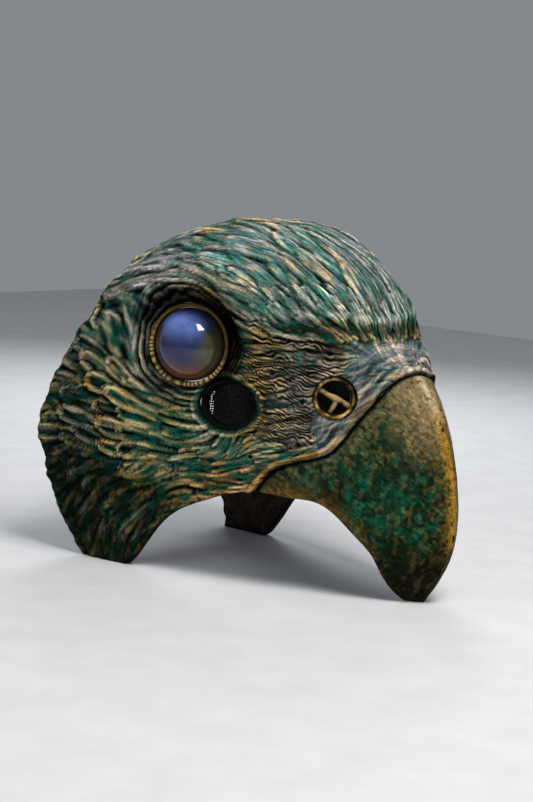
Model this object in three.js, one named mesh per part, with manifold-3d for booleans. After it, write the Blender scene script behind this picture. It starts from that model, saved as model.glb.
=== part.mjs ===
// Wearable bird-of-prey half mask: a hollow feathered head shell with a separate hooked beak,
// glass-like dome eyes, dark mesh vision ports below them, ringed nostrils, fitting pads and a
// swinging elastic head strap with a slider.
//
// Millimetres, +Z up. The bird faces -Y, its right side is -X. The mask stands on the ends of
// its two cheek lappets and on the tip of the beak, all at Z = 0. The origin is below the middle
// of its bounding box.

import * as THREE from 'three';
import { ParametricGeometry } from 'three/addons/geometries/ParametricGeometry.js';
import { mergeVertices } from 'three/addons/utils/BufferGeometryUtils.js';
import Module from 'manifold-3d';

const wasm = await Module();
wasm.setup();

// ---------------------------------------------------------------- driving dimensions
const WALL = 4.5;                 // thickness of the cast shell
const GAP = 0.3;                  // clearance between neighbouring pieces
const PAD_GAP = 2.3;              // room between the shell and its soft pads
const SIDES = [['right', -1], ['left', 1]];

// Half sections of the mask from the rear rim to the tip of the beak. Each has five points from
// the crown line down to the lower edge: [distance from the middle plane, y, z]. The lowest
// points lie just under the floor, which trims the lappets and the beak tip flat.
const SECTIONS = [
  [[0, 75, 226], [62, 85, 208], [91, 113, 152], [93, 140, 82], [80, 107, -2]],
  [[0, 39, 236], [62, 47, 222], [92, 71, 162], [95, 97, 92], [78, 71, -1.5]],
  [[0, 7, 238], [60, 15, 228], [90, 35, 170], [92, 57, 105], [77, 43, 33]],
  [[0, -23, 232], [56, -15, 222], [83, 3, 174], [85, 19, 115], [74, 13, 52]],
  [[0, -49, 218], [50, -41, 208], [74, -23, 166], [77, -11, 114], [70, -11, 62]],
  [[0, -69, 197], [44, -65, 191], [63, -45, 153], [68, -35, 108], [66, -35, 66]],
  [[0, -81, 174], [41, -76, 170], [57, -64, 141], [61, -53, 102], [61, -55, 65]],
  [[0, -94, 159], [30, -89, 152], [47, -77, 130], [54, -70, 98], [54, -70, 64]],
  [[0, -109, 148], [24, -103, 143], [40, -91, 122], [48, -82, 92], [47, -82, 57]],
  [[0, -124, 128], [19, -119, 124], [33, -106, 107], [41, -95, 78], [40, -93, 45]],
  [[0, -136, 100], [15, -132, 97], [27, -120, 83], [34, -108, 60], [32, -103, 32]],
  [[0, -144, 64], [12, -140, 61], [21, -128, 51], [26, -116, 36], [24, -107, 18]],
  [[0, -142, 30], [8, -138, 28], [14, -129, 22], [16, -121, 14], [15, -112, 6]],
  [[0, -125, -2], [3, -123, -2], [4, -121, -2], [4, -119, -2], [4, -116, -2]],
];
const HOLLOW_END = 10.5;          // section number where the hollow of the beak stops
const HOLLOW_END_CENTRE = [0, -111, 62];
const REAR_CENTRE = [0, 107, 110];
const TIP_CENTRE = [0, -120.5, -2];
const MIDDLE_SHIFT = 2.5;         // brings the middle of the mask's length over the origin

// Brow ridge on the left half, from the temple to the forehead, and how far it stands out.
const BROW_LINE = [[89, 82, 184], [88, 57, 192], [83, 22, 198], [77, -6, 191], [65, -36, 181], [42, -66, 180]];
const BROW_HEIGHT = 6.5;
const BROW_WIDTH = 10;

// Dome eye on the left half
const EYE_CENTRE = new THREE.Vector3(70, 25, 157.5);     // centre of the dome's sphere
const EYE_AXIS = new THREE.Vector3(0.93, -0.36, 0.06).normalize();
const EYE_SPHERE_RADIUS = 26;
const EYE_RIM_RADIUS = 24.4;
const EYE_BASE_DEPTH = 3;
const EYELID_INNER = EYE_RIM_RADIUS + GAP + 0.1;
const EYELID_OUTER = 27.4;
const SOCKET_HOLE_RADIUS = EYELID_OUTER + GAP;
const SOCKET_FLOOR = -1.5;         // height of the socket floor above the plane of the dome's rim
const SOCKET_INNER = 29;          // the floor is flat to this distance from the eye's axis
const SOCKET_OUTER = 47;          // and has risen to the head's surface at this one
const IRIS_RADIUS = 23.8;
const IRIS_THICKNESS = 1.2;

// Vision port on the left half
const PORT_CENTRE = new THREE.Vector3(72, -9.5, 121);
const PORT_AXIS = new THREE.Vector3(0.96, -0.27, 0.1).normalize();
const PORT_WIDTH = 40;
const PORT_HEIGHT = 32;
const PORT_FRAME_WALL = 1.6;
const PORT_FRAME_DEPTH = 7;
const MESH_THICKNESS = 0.8;

// Nostril on the left half
const NOSTRIL_CENTRE = new THREE.Vector3(47.5, -77, 133);
const NOSTRIL_AXIS = new THREE.Vector3(0.77, -0.63, 0.08).normalize();
const NOSTRIL_RING_OUTER = 14.6;
const NOSTRIL_RING_INNER = 11;
const NOSTRIL_RING_DEPTH = 7.5;
const NOSTRIL_BAR_WIDTH = 4;
const NOSTRIL_LEG_WIDTH = 3;
const NOSTRIL_BACK_THICKNESS = 1.5;

// Seam between the cere and the beak, seen from the side: [y, z]
const SEAM = [[-20, 34], [-29, 60], [-44, 81], [-60, 89], [-77, 96], [-86, 108], [-95, 124], [-101, 135],
  [-107, 149], [-116, 172]];
const SEAM_SHIFT = 0.4;           // sideways move of the second cut, which leaves the glue gap
const BACKING_THICKNESS = 2;
const BACKING_REACH = 9;          // how far the backing strip reaches to each side of the seam

// Strap
const PIVOT_Y = 106;
const PIVOT_Z = 118;
const POST_FLANGE_X = 87.2;
const POST_FLANGE_RADIUS = 8;
const POST_FLANGE_THICKNESS = 2;
const POST_SHAFT_RADIUS = 3;
const POST_HEAD_RADIUS = 5.5;
const POST_HEAD_THICKNESS = 1.5;
const TAB_THICKNESS = 2.5;
const TAB_WIDTH = 24;
const TAB_DROP = 26;              // pivot to the square end of the tab
const BAND_WIDTH = 22;
const BAND_THICKNESS = 1.6;
const BAND_BEND = 30;             // radius of the two lower bends
const BAND_BOTTOM_Z = 59;
const BAND_TOP_Z = PIVOT_Z - 11;
const SLIDER_LENGTH = 14;
const SLIDER_WALL = 2;
const SLIDER_CLEARANCE = 0.5;
const SLIDER_X = 18;              // where the slider rests on the band

// ---------------------------------------------------------------- materials
const finish = (color, roughness, metalness = 0) =>
  new THREE.MeshStandardMaterial({ color, roughness, metalness });
const MATERIALS = {
  shell: () => finish(0x4f6a5c, 0.55, 0.25),
  beak: () => finish(0x2b3d24, 0.4, 0.35),
  gold: () => finish(0xa8894c, 0.45, 0.6),
  dome: () => finish(0x8fa0b8, 0.08),
  iris: () => finish(0x5a4d3a, 0.35),
  mesh: () => finish(0x151515, 0.6, 0.3),
  blackPart: () => finish(0x1c1b19, 0.7),
  leather: () => finish(0x3a2a1d, 0.7),
  foam: () => finish(0x2c2b2a, 0.95),
  webbing: () => finish(0x1b1b1c, 0.9),
  steel: () => finish(0x8d8a84, 0.35, 0.9),
};

// ---------------------------------------------------------------- smooth curves through points
// Second derivatives of a natural cubic spline through evenly numbered values.
function splineBends(values) {
  const last = values.length - 1;
  const pivots = [];
  const rest = [];
  for (let i = 1; i < last; i++) {
    const bend = 6 * (values[i + 1] - 2 * values[i] + values[i - 1]);
    const carry = i > 1 ? 1 / pivots[i - 2] : 0;
    pivots.push(4 - carry);
    rest.push(bend - (i > 1 ? carry * rest[i - 2] : 0));
  }
  const bends = new Array(last + 1).fill(0);
  for (let i = last - 1; i > 0; i--) {
    bends[i] = (rest[i - 1] - bends[i + 1]) / pivots[i - 1];
  }
  return bends;
}

function splineAt(values, bends, position) {
  const i = Math.min(Math.floor(position), values.length - 2);
  const b = position - i;
  const a = 1 - b;
  return a * values[i] + b * values[i + 1]
    + ((a ** 3 - a) * bends[i] + (b ** 3 - b) * bends[i + 1]) / 6;
}

const LAST_SECTION = SECTIONS.length - 1;
const columns = [0, 1, 2, 3, 4].map((row) => [0, 1, 2].map((axis) => {
  const values = SECTIONS.map((section) => section[row][axis]);
  return { values, bends: splineBends(values) };
}));

// Point on the mask's base surface. s counts the sections, 0 at the rear rim; v runs from -1 at
// the right lower edge over the crown to 1 at the left lower edge.
const sectionCache = new Map();
function sectionCurves(s) {
  if (!sectionCache.has(s)) {
    const half = columns.map((column) => column.map((c) => splineAt(c.values, c.bends, s)));
    const full = [4, 3, 2, 1].map((row) => [-half[row][0], half[row][1], half[row][2]]).concat(half);
    sectionCache.set(s, [0, 1, 2].map((axis) => {
      const values = full.map((point) => point[axis]);
      return { values, bends: splineBends(values) };
    }));
  }
  return sectionCache.get(s);
}

function basePoint(s, v) {
  const [x, y, z] = sectionCurves(s).map((c) => splineAt(c.values, c.bends, 4 + 4 * v));
  return new THREE.Vector3(x, y, z);
}

function baseNormal(s, v) {
  const step = 0.02;
  const s0 = Math.max(0, s - step);
  const s1 = Math.min(LAST_SECTION - 0.2, s + step);
  const v0 = Math.max(-1, v - step);
  const v1 = Math.min(1, v + step);
  const forward = basePoint(Math.max(s1, s0 + step), v).sub(basePoint(s0, v));
  const around = basePoint(s, v1).sub(basePoint(s, v0));
  return around.cross(forward).normalize().negate();
}

// ---------------------------------------------------------------- large forms of the shell
const browCurve = new THREE.CatmullRomCurve3(BROW_LINE.map((p) => new THREE.Vector3(...p)));
const browPoints = browCurve.getPoints(40);
const RIM_HEIGHT = Math.sqrt(EYE_SPHERE_RADIUS ** 2 - EYE_RIM_RADIUS ** 2);
const eyeRimCentre = EYE_CENTRE.clone().addScaledVector(EYE_AXIS, RIM_HEIGHT);

// How far the surface stands out of its base form at a point of the left half.
function relief(point) {
  let nearest = Infinity;
  for (const browPoint of browPoints) {
    nearest = Math.min(nearest, browPoint.distanceTo(point));
  }
  const brow = BROW_HEIGHT * Math.exp(-((nearest / BROW_WIDTH) ** 2));
  const fromEye = point.clone().sub(eyeRimCentre);
  const height = fromEye.dot(EYE_AXIS);
  const reach = fromEye.addScaledVector(EYE_AXIS, -height).length();
  const inSocket = 1 - THREE.MathUtils.smoothstep(reach, SOCKET_INNER, SOCKET_OUTER);
  return brow * (1 - inSocket) + (SOCKET_FLOOR - height) * inSocket;
}

function shellPoint(s, v, depth) {
  const point = basePoint(s, v);
  const mirrored = new THREE.Vector3(Math.abs(point.x), point.y, point.z);
  return point.addScaledVector(baseNormal(s, v), relief(mirrored) - depth);
}

// ---------------------------------------------------------------- solids
// A closed solid from a three.js geometry: welded, without collapsed triangles, facing outwards.
function solidFrom(geometry) {
  const bare = geometry.clone();
  bare.deleteAttribute('normal');
  bare.deleteAttribute('uv');
  const welded = mergeVertices(bare, 1e-3);
  const index = welded.getIndex().array;
  const triangles = [];
  for (let i = 0; i < index.length; i += 3) {
    const [a, b, c] = [index[i], index[i + 1], index[i + 2]];
    if (a !== b && b !== c && c !== a) {
      triangles.push(a, b, c);
    }
  }
  const vertProperties = new Float32Array(welded.getAttribute('position').array);
  const build = (order) => new wasm.Manifold(new wasm.Mesh({
    numProp: 3, vertProperties, triVerts: new Uint32Array(order),
  }));
  const solid = build(triangles);
  if (solid.volume() > 0) {
    return solid;
  }
  return build(triangles.reverse());
}

// A closed loft: pointAt(row, column) with row from 0 to 1 between its two poles and column
// from 0 to 1 once around.
function loftSolid(rows, around, pointAt) {
  const geometry = new ParametricGeometry((column, row, target) => {
    target.copy(pointAt(row, column === 1 ? 0 : column));
  }, around, rows);
  return solidFrom(geometry);
}

// Everything inside the surface that lies `depth` below the outer face. It is closed by straight
// chords across the lower edges; reach carries it past the rear rim and below the lower edges.
function bodyWithin(depth, sEnd, endPole, reach, rows, around) {
  const closing = 4;
  const down = new THREE.Vector3(0, 0, -reach);
  const back = new THREE.Vector3(0, reach, 0);
  const rearPole = new THREE.Vector3(...REAR_CENTRE).add(back);
  const ring = (s, column) => {
    const index = Math.round(column * around);
    const surfaceCount = around - closing;
    if (index <= surfaceCount) {
      return shellPoint(s, 1 - 2 * index / surfaceCount, depth);
    }
    const lower = shellPoint(s, -1, depth).add(down);
    const upper = shellPoint(s, 1, depth).add(down);
    return lower.lerp(upper, (index - surfaceCount - 1) / (closing - 2));
  };
  const extra = reach > 0 ? 2 : 1;
  return loftSolid(rows, around, (row, column) => {
    const index = Math.round(row * rows);
    if (index === 0) {
      return rearPole.clone();
    }
    if (index === rows) {
      return new THREE.Vector3(...endPole);
    }
    if (index < extra) {
      return ring(0, column).add(back);
    }
    return ring(sEnd * (index - extra) / (rows - 1 - extra), column);
  });
}

// A prism across the mask from an outline in the [y, z] plane.
function crossPrism(outline, width) {
  const shape = new THREE.Shape(outline.map(([y, z]) => new THREE.Vector2(y, z)));
  const geometry = new THREE.ExtrudeGeometry(shape, { depth: width, bevelEnabled: false });
  geometry.translate(0, 0, -width / 2);
  const turn = new THREE.Matrix4().makeBasis(
    new THREE.Vector3(0, 1, 0), new THREE.Vector3(0, 0, 1), new THREE.Vector3(1, 0, 0));
  geometry.applyMatrix4(turn);
  return solidFrom(geometry);
}

// Frame whose local Y points along an axis and whose local Z stays as near to up as it can.
function placeOn(geometry, centre, axis, side, spin = 0) {
  const direction = new THREE.Vector3(axis.x * side, axis.y, axis.z);
  const position = new THREE.Vector3(centre.x * side, centre.y, centre.z);
  const across = new THREE.Vector3().crossVectors(direction, new THREE.Vector3(0, 0, 1)).normalize();
  const up = new THREE.Vector3().crossVectors(across, direction);
  const turn = new THREE.Matrix4().makeBasis(across, direction, up);
  turn.multiply(new THREE.Matrix4().makeRotationY(spin));
  turn.setPosition(position);
  return geometry.clone().applyMatrix4(turn);
}

function cylinderOn(radiusX, radiusZ, from, to, centre, axis, side, segments = 32) {
  const geometry = new THREE.CylinderGeometry(1, 1, to - from, segments, 1);
  geometry.scale(radiusX, 1, radiusZ);
  geometry.translate(0, (from + to) / 2, 0);
  return solidFrom(placeOn(geometry, centre, axis, side));
}

// A pad that follows the inside of the shell: an ellipse in (s, v) with a crowned face.
function padSolid(sMid, sHalf, vMid, vHalf, thickness) {
  const nearWall = WALL + PAD_GAP;
  return loftSolid(10, 20, (row, column) => {
    const angle = 2 * Math.PI * column;
    const tilt = Math.PI * row;
    const spread = Math.sin(tilt) ** 0.6;
    const rise = Math.sign(Math.cos(tilt)) * Math.abs(Math.cos(tilt)) ** 0.6;
    const s = sMid + sHalf * spread * Math.cos(angle);
    const v = vMid + vHalf * spread * Math.sin(angle);
    return shellPoint(s, v, nearWall + thickness * (1 - rise) / 2);
  });
}

// ---------------------------------------------------------------- shell and beak
const outer = bodyWithin(0, LAST_SECTION, TIP_CENTRE, 0, 44, 44);
const hollow = bodyWithin(WALL, HOLLOW_END, HOLLOW_END_CENTRE, 60, 28, 34);
const floorTrim = solidFrom(new THREE.BoxGeometry(400, 600, 40).translate(0, 0, -20));
let shell = outer.subtract(hollow).subtract(floorTrim);

for (const [, side] of SIDES) {
  shell = shell.subtract(cylinderOn(SOCKET_HOLE_RADIUS, SOCKET_HOLE_RADIUS, -8, 40,
    EYE_CENTRE, EYE_AXIS, side, 48));
  shell = shell.subtract(cylinderOn(PORT_WIDTH / 2, PORT_HEIGHT / 2, -20, 24,
    PORT_CENTRE, PORT_AXIS, side));
  shell = shell.subtract(cylinderOn(NOSTRIL_RING_OUTER + GAP, NOSTRIL_RING_OUTER + GAP, -18, 16,
    NOSTRIL_CENTRE, NOSTRIL_AXIS, side));
}

// The part of space in front of the seam, moved forward by a distance along the beak.
function beakSpace(move) {
  const shift = move * Math.SQRT1_2;
  const edge = SEAM.map(([y, z]) => [y - shift, z - shift]);
  return crossPrism([...edge, [-220, 200], [-220, -40], [-20, -40]], 300);
}

const beakPiece = shell.intersect(beakSpace(SEAM_SHIFT));
const headPiece = shell.subtract(beakSpace(0));

const backingLayer = bodyWithin(WALL + GAP, HOLLOW_END, HOLLOW_END_CENTRE, 0, 28, 34)
  .subtract(bodyWithin(WALL + GAP + BACKING_THICKNESS, HOLLOW_END, HOLLOW_END_CENTRE, 60, 28, 34));
const backingStrip = backingLayer.intersect(
  beakSpace(-BACKING_REACH).subtract(beakSpace(BACKING_REACH)));

// ---------------------------------------------------------------- scene graph
const part = new THREE.Group();
part.position.y = MIDDLE_SHIFT;

function addGeometry(name, geometry, material) {
  const mesh = new THREE.Mesh(geometry, material());
  mesh.name = name;
  part.add(mesh);
}

function addSolid(name, solid, material) {
  const bodies = solid.decompose().sort((a, b) => b.volume() - a.volume());
  const { vertProperties, triVerts } = bodies[0].getMesh();
  const geometry = new THREE.BufferGeometry();
  geometry.setAttribute('position', new THREE.BufferAttribute(new Float32Array(vertProperties), 3));
  geometry.setIndex(new THREE.BufferAttribute(new Uint32Array(triVerts), 1));
  geometry.computeVertexNormals();
  addGeometry(name, geometry, material);
}

addSolid('head_shell', headPiece, MATERIALS.shell);
addSolid('beak', beakPiece, MATERIALS.beak);
addSolid('seam_backing_strip', backingStrip, MATERIALS.leather);

// A turned piece on the Y axis from [radius, y] points that close on themselves.
function turned(profile, segments = 36) {
  return new THREE.LatheGeometry(profile.map(([r, y]) => new THREE.Vector2(r, y)), segments);
}

// ---- dome eyes
function domeProfile() {
  const start = Math.asin(EYE_RIM_RADIUS / EYE_SPHERE_RADIUS);
  const steps = 6;
  const profile = [[0, RIM_HEIGHT - EYE_BASE_DEPTH], [EYE_RIM_RADIUS, RIM_HEIGHT - EYE_BASE_DEPTH]];
  for (let i = 0; i <= steps; i++) {
    const angle = start * (1 - i / steps);
    profile.push([EYE_SPHERE_RADIUS * Math.sin(angle), EYE_SPHERE_RADIUS * Math.cos(angle)]);
  }
  return profile;
}

function eyelidProfile() {
  const low = RIM_HEIGHT - 7;
  const high = RIM_HEIGHT + 2.5;
  return [[EYELID_INNER, low], [EYELID_OUTER, low], [EYELID_OUTER, high - 1],
    [EYELID_OUTER - 0.9, high], [EYELID_INNER + 0.5, high], [EYELID_INNER, high - 1], [EYELID_INNER, low]];
}

for (const [name, side] of SIDES) {
  addSolid(`eye_dome_${name}`,
    solidFrom(placeOn(turned(domeProfile()), EYE_CENTRE, EYE_AXIS, side)), MATERIALS.dome);
  const irisTop = RIM_HEIGHT - EYE_BASE_DEPTH - GAP;
  addSolid(`iris_disc_${name}`, cylinderOn(IRIS_RADIUS, IRIS_RADIUS, irisTop - IRIS_THICKNESS, irisTop,
    EYE_CENTRE, EYE_AXIS, side), MATERIALS.iris);
  addSolid(`eyelid_ring_${name}`,
    solidFrom(placeOn(turned(eyelidProfile()), EYE_CENTRE, EYE_AXIS, side)), MATERIALS.gold);
}

// ---- vision ports: an oval frame in the wall with a mesh disc at its back
for (const [name, side] of SIDES) {
  const oval = (inset, from, to) => cylinderOn(PORT_WIDTH / 2 - inset, PORT_HEIGHT / 2 - inset,
    from, to, PORT_CENTRE, PORT_AXIS, side);
  const frameBack = -PORT_FRAME_DEPTH;
  const seatInset = GAP + PORT_FRAME_WALL;
  const frame = oval(GAP, frameBack, 0)
    .subtract(oval(seatInset + 1, frameBack - 1, 1))
    .subtract(oval(seatInset, frameBack + 1.2, 1));
  addSolid(`port_frame_${name}`, frame, MATERIALS.blackPart);
  const meshBack = frameBack + 1.2 + GAP;
  addSolid(`vision_mesh_${name}`, oval(seatInset + GAP, meshBack, meshBack + MESH_THICKNESS), MATERIALS.mesh);
}

// ---- nostrils: ring in the wall, forked bar across it, dark backing disc behind
function nostrilRingProfile() {
  const back = -NOSTRIL_RING_DEPTH;
  return [[NOSTRIL_RING_INNER, back], [NOSTRIL_RING_OUTER, back], [NOSTRIL_RING_OUTER, 0.5],
    [NOSTRIL_RING_OUTER - 1.2, 1.8], [NOSTRIL_RING_INNER + 1.2, 1.8], [NOSTRIL_RING_INNER, 0.5],
    [NOSTRIL_RING_INNER, back]];
}

function nostrilBar(side) {
  const room = NOSTRIL_RING_INNER - GAP - 0.2;
  const beam = new THREE.BoxGeometry(2 * room + 4, 3, NOSTRIL_BAR_WIDTH).translate(0, -2, 0);
  const leg = new THREE.BoxGeometry(NOSTRIL_LEG_WIDTH, 3, room + 2).translate(2, -2, -room / 2 - 1);
  const slope = side * 0.5;
  const bar = solidFrom(placeOn(beam, NOSTRIL_CENTRE, NOSTRIL_AXIS, side, -slope))
    .add(solidFrom(placeOn(leg, NOSTRIL_CENTRE, NOSTRIL_AXIS, side, -slope)));
  return bar.intersect(cylinderOn(room, room, -6, 4, NOSTRIL_CENTRE, NOSTRIL_AXIS, side));
}

for (const [name, side] of SIDES) {
  addSolid(`nostril_ring_${name}`,
    solidFrom(placeOn(turned(nostrilRingProfile(), 36), NOSTRIL_CENTRE, NOSTRIL_AXIS, side)), MATERIALS.gold);
  addSolid(`nostril_bar_${name}`, nostrilBar(side), MATERIALS.gold);
  const room = NOSTRIL_RING_INNER - GAP;
  const back = -NOSTRIL_RING_DEPTH;
  addSolid(`nostril_backing_${name}`, cylinderOn(room, room, back, back + NOSTRIL_BACK_THICKNESS,
    NOSTRIL_CENTRE, NOSTRIL_AXIS, side, 28), MATERIALS.blackPart);
}

// ---- fitting pads on the inside: [name, s, half length in s, v, half width in v, thickness]
const MIDDLE_PADS = [
  ['forehead_pad', 4.1, 0.55, 0, 0.2, 11],
  ['crown_pad', 1.5, 0.75, 0, 0.2, 10],
];
const SIDE_PADS = [
  ['temple_pad', 0.95, 0.6, 0.42, 0.1, 10],
  ['cheek_pad', 1.8, 0.38, 0.76, 0.09, 9],
];
for (const [name, s, sHalf, v, vHalf, thickness] of MIDDLE_PADS) {
  addSolid(name, padSolid(s, sHalf, v, vHalf, thickness), MATERIALS.foam);
}
for (const [padName, s, sHalf, v, vHalf, thickness] of SIDE_PADS) {
  for (const [name, side] of SIDES) {
    addSolid(`${padName}_${name}`, padSolid(s, sHalf, side * v, vHalf, thickness), MATERIALS.foam);
  }
}

// ---- strap posts, tabs, band and slider
// Outline in the [y, z] plane to a plate of a thickness whose inner face is at x = from.
function sidePlate(shape, from, thickness, side) {
  const geometry = new THREE.ExtrudeGeometry(shape, { depth: thickness, bevelEnabled: false, curveSegments: 16 });
  geometry.translate(0, 0, from);
  const turn = new THREE.Matrix4().makeBasis(
    new THREE.Vector3(0, 1, 0), new THREE.Vector3(0, 0, 1), new THREE.Vector3(1, 0, 0));
  geometry.applyMatrix4(turn);
  if (side < 0) {
    geometry.scale(-1, 1, 1);
  }
  return solidFrom(geometry);
}

const POST_SHOULDER_X = POST_FLANGE_X - POST_FLANGE_THICKNESS;
const TAB_OUTER_X = POST_SHOULDER_X - GAP;
const TAB_INNER_X = TAB_OUTER_X - TAB_THICKNESS;
const POST_HEAD_X = TAB_INNER_X - GAP;

function postProfile() {
  const end = POST_HEAD_X - POST_HEAD_THICKNESS;
  return [[0, end], [POST_HEAD_RADIUS - 0.8, end], [POST_HEAD_RADIUS, end + 0.8],
    [POST_HEAD_RADIUS, POST_HEAD_X], [POST_SHAFT_RADIUS, POST_HEAD_X],
    [POST_SHAFT_RADIUS, POST_SHOULDER_X], [POST_FLANGE_RADIUS, POST_SHOULDER_X],
    [POST_FLANGE_RADIUS, POST_FLANGE_X], [0, POST_FLANGE_X]];
}

function tabShape() {
  const shape = new THREE.Shape();
  const half = TAB_WIDTH / 2;
  shape.moveTo(PIVOT_Y - half, PIVOT_Z - TAB_DROP);
  shape.lineTo(PIVOT_Y + half, PIVOT_Z - TAB_DROP);
  shape.lineTo(PIVOT_Y + half, PIVOT_Z);
  shape.absarc(PIVOT_Y, PIVOT_Z, half, 0, Math.PI, false);
  const hole = new THREE.Path();
  hole.absarc(PIVOT_Y, PIVOT_Z, POST_SHAFT_RADIUS + GAP, 0, 2 * Math.PI, true);
  shape.holes.push(hole);
  return shape;
}

for (const [name, side] of SIDES) {
  const post = turned(postProfile(), 28).rotateZ(-Math.PI / 2);
  if (side < 0) {
    post.scale(-1, 1, 1);
  }
  addSolid(`strap_post_${name}`, solidFrom(post.translate(0, PIVOT_Y, PIVOT_Z)), MATERIALS.steel);
  addSolid(`strap_tab_${name}`, sidePlate(tabShape(), TAB_INNER_X, TAB_THICKNESS, side), MATERIALS.leather);
}

// The band hangs in a U between the tabs: outline in the [x, z] plane, as wide as BAND_WIDTH.
function bandSolid() {
  const outerX = TAB_INNER_X - GAP;
  const innerX = outerX - BAND_THICKNESS;
  const outerBend = BAND_BEND + BAND_THICKNESS / 2;
  const innerBend = outerBend - BAND_THICKNESS;
  const low = BAND_BOTTOM_Z - BAND_THICKNESS / 2;
  const bendZ = low + outerBend;
  const shape = new THREE.Shape();
  shape.moveTo(-outerX, BAND_TOP_Z);
  shape.lineTo(-outerX, bendZ);
  shape.absarc(-outerX + outerBend, bendZ, outerBend, Math.PI, 1.5 * Math.PI, false);
  shape.lineTo(outerX - outerBend, low);
  shape.absarc(outerX - outerBend, bendZ, outerBend, 1.5 * Math.PI, 2 * Math.PI, false);
  shape.lineTo(outerX, BAND_TOP_Z);
  shape.lineTo(innerX, BAND_TOP_Z);
  shape.lineTo(innerX, bendZ);
  shape.absarc(innerX - innerBend, bendZ, innerBend, 0, -0.5 * Math.PI, true);
  shape.lineTo(-innerX + innerBend, low + BAND_THICKNESS);
  shape.absarc(-innerX + innerBend, bendZ, innerBend, 1.5 * Math.PI, Math.PI, true);
  shape.lineTo(-innerX, BAND_TOP_Z);
  const geometry = new THREE.ExtrudeGeometry(shape, { depth: BAND_WIDTH, bevelEnabled: false, curveSegments: 10 });
  geometry.translate(0, 0, -BAND_WIDTH / 2).rotateX(Math.PI / 2).translate(0, PIVOT_Y, 0);
  return solidFrom(geometry);
}

function sliderSolid() {
  const roomY = BAND_WIDTH + 2 * SLIDER_CLEARANCE;
  const roomZ = BAND_THICKNESS + 2 * SLIDER_CLEARANCE;
  const block = (length, y, z) => solidFrom(
    new THREE.BoxGeometry(length, y, z).translate(SLIDER_X, PIVOT_Y, BAND_BOTTOM_Z));
  return block(SLIDER_LENGTH, roomY + 2 * SLIDER_WALL, roomZ + 2 * SLIDER_WALL)
    .subtract(block(SLIDER_LENGTH + 2, roomY, roomZ));
}

addSolid('strap_band', bandSolid(), MATERIALS.webbing);
addSolid('strap_slider', sliderSolid(), MATERIALS.blackPart);

export default part;
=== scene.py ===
# Looks of the bird-of-prey half mask: finely carved shell and beak, dome eyes, lids, woven mesh,
# nostrils, fitting pads and the head strap. Everything is worked out in millimetres in the design
# frame and turned into metres as each mesh is made.
import math

import bmesh
import bpy
import numpy as np
from mathutils import Matrix, Vector


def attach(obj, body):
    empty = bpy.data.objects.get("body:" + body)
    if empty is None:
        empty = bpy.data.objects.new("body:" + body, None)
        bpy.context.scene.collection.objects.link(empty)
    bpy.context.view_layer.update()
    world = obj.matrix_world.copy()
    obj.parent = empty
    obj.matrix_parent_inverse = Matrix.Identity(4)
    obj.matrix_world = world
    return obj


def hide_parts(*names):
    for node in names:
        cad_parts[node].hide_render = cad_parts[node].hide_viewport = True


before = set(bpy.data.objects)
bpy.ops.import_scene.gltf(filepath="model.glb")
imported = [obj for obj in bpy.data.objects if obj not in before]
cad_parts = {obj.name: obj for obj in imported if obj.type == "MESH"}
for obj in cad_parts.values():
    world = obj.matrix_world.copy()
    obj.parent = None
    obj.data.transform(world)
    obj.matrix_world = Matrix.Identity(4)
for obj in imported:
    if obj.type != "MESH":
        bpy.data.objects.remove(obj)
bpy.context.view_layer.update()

MM = 0.001
MIDDLE_SHIFT = 2.5                # moves the design frame so that the origin is below the middle
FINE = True

# ------------------------------------------------------------------ the mask's base form
# Half sections from the rear rim to the beak tip: [distance from the middle plane, y, z].
SECTIONS = np.array([
    [[0, 75, 226], [62, 85, 208], [91, 113, 152], [93, 140, 82], [80, 107, -2]],
    [[0, 39, 236], [62, 47, 222], [92, 71, 162], [95, 97, 92], [78, 71, -1.5]],
    [[0, 7, 238], [60, 15, 228], [90, 35, 170], [92, 57, 105], [77, 43, 33]],
    [[0, -23, 232], [56, -15, 222], [83, 3, 174], [85, 19, 115], [74, 13, 52]],
    [[0, -49, 218], [50, -41, 208], [74, -23, 166], [77, -11, 114], [70, -11, 62]],
    [[0, -69, 197], [44, -65, 191], [63, -45, 153], [68, -35, 108], [66, -35, 66]],
    [[0, -81, 174], [41, -76, 170], [57, -64, 141], [61, -53, 102], [61, -55, 65]],
    [[0, -94, 159], [30, -89, 152], [47, -77, 130], [54, -70, 98], [54, -70, 64]],
    [[0, -109, 148], [24, -103, 143], [40, -91, 122], [48, -82, 92], [47, -82, 57]],
    [[0, -124, 128], [19, -119, 124], [33, -106, 107], [41, -95, 78], [40, -93, 45]],
    [[0, -136, 100], [15, -132, 97], [27, -120, 83], [34, -108, 60], [32, -103, 32]],
    [[0, -144, 64], [12, -140, 61], [21, -128, 51], [26, -116, 36], [24, -107, 18]],
    [[0, -142, 30], [8, -138, 28], [14, -129, 22], [16, -121, 14], [15, -112, 6]],
    [[0, -125, -2], [3, -123, -2], [4, -121, -2], [4, -119, -2], [4, -116, -2]],
], float)
LAST_SECTION = len(SECTIONS) - 1
HOLLOW_END = 10.5
HOLLOW_END_CENTRE = np.array([0.0, -111, 62])
REAR_CENTRE = np.array([0.0, 107, 110])
TIP_CENTRE = np.array([0.0, -120.5, -2])
WALL = 4.5
FLOOR_TRIM = 0.15                 # the visible shell ends this far above the floor

# Lower edge of the brow, from the temple over the eye and round the forehead (left half)
BROW_LINE = np.array([[90, 84, 182], [88, 57, 191], [84, 22, 197], [78, -6, 191], [70, -28, 183],
                      [57, -48, 179], [40, -63, 178], [20, -71, 175], [0, -74, 173]], float)
BROW_HEIGHT = 6.0
# Seam between the cere and the beak, seen from the side: [y, z]
SEAM = np.array([[-20, 34], [-29, 60], [-44, 81], [-60, 89], [-77, 96], [-86, 108], [-95, 124],
                 [-101, 135], [-107, 149], [-116, 172]], float)


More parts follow.
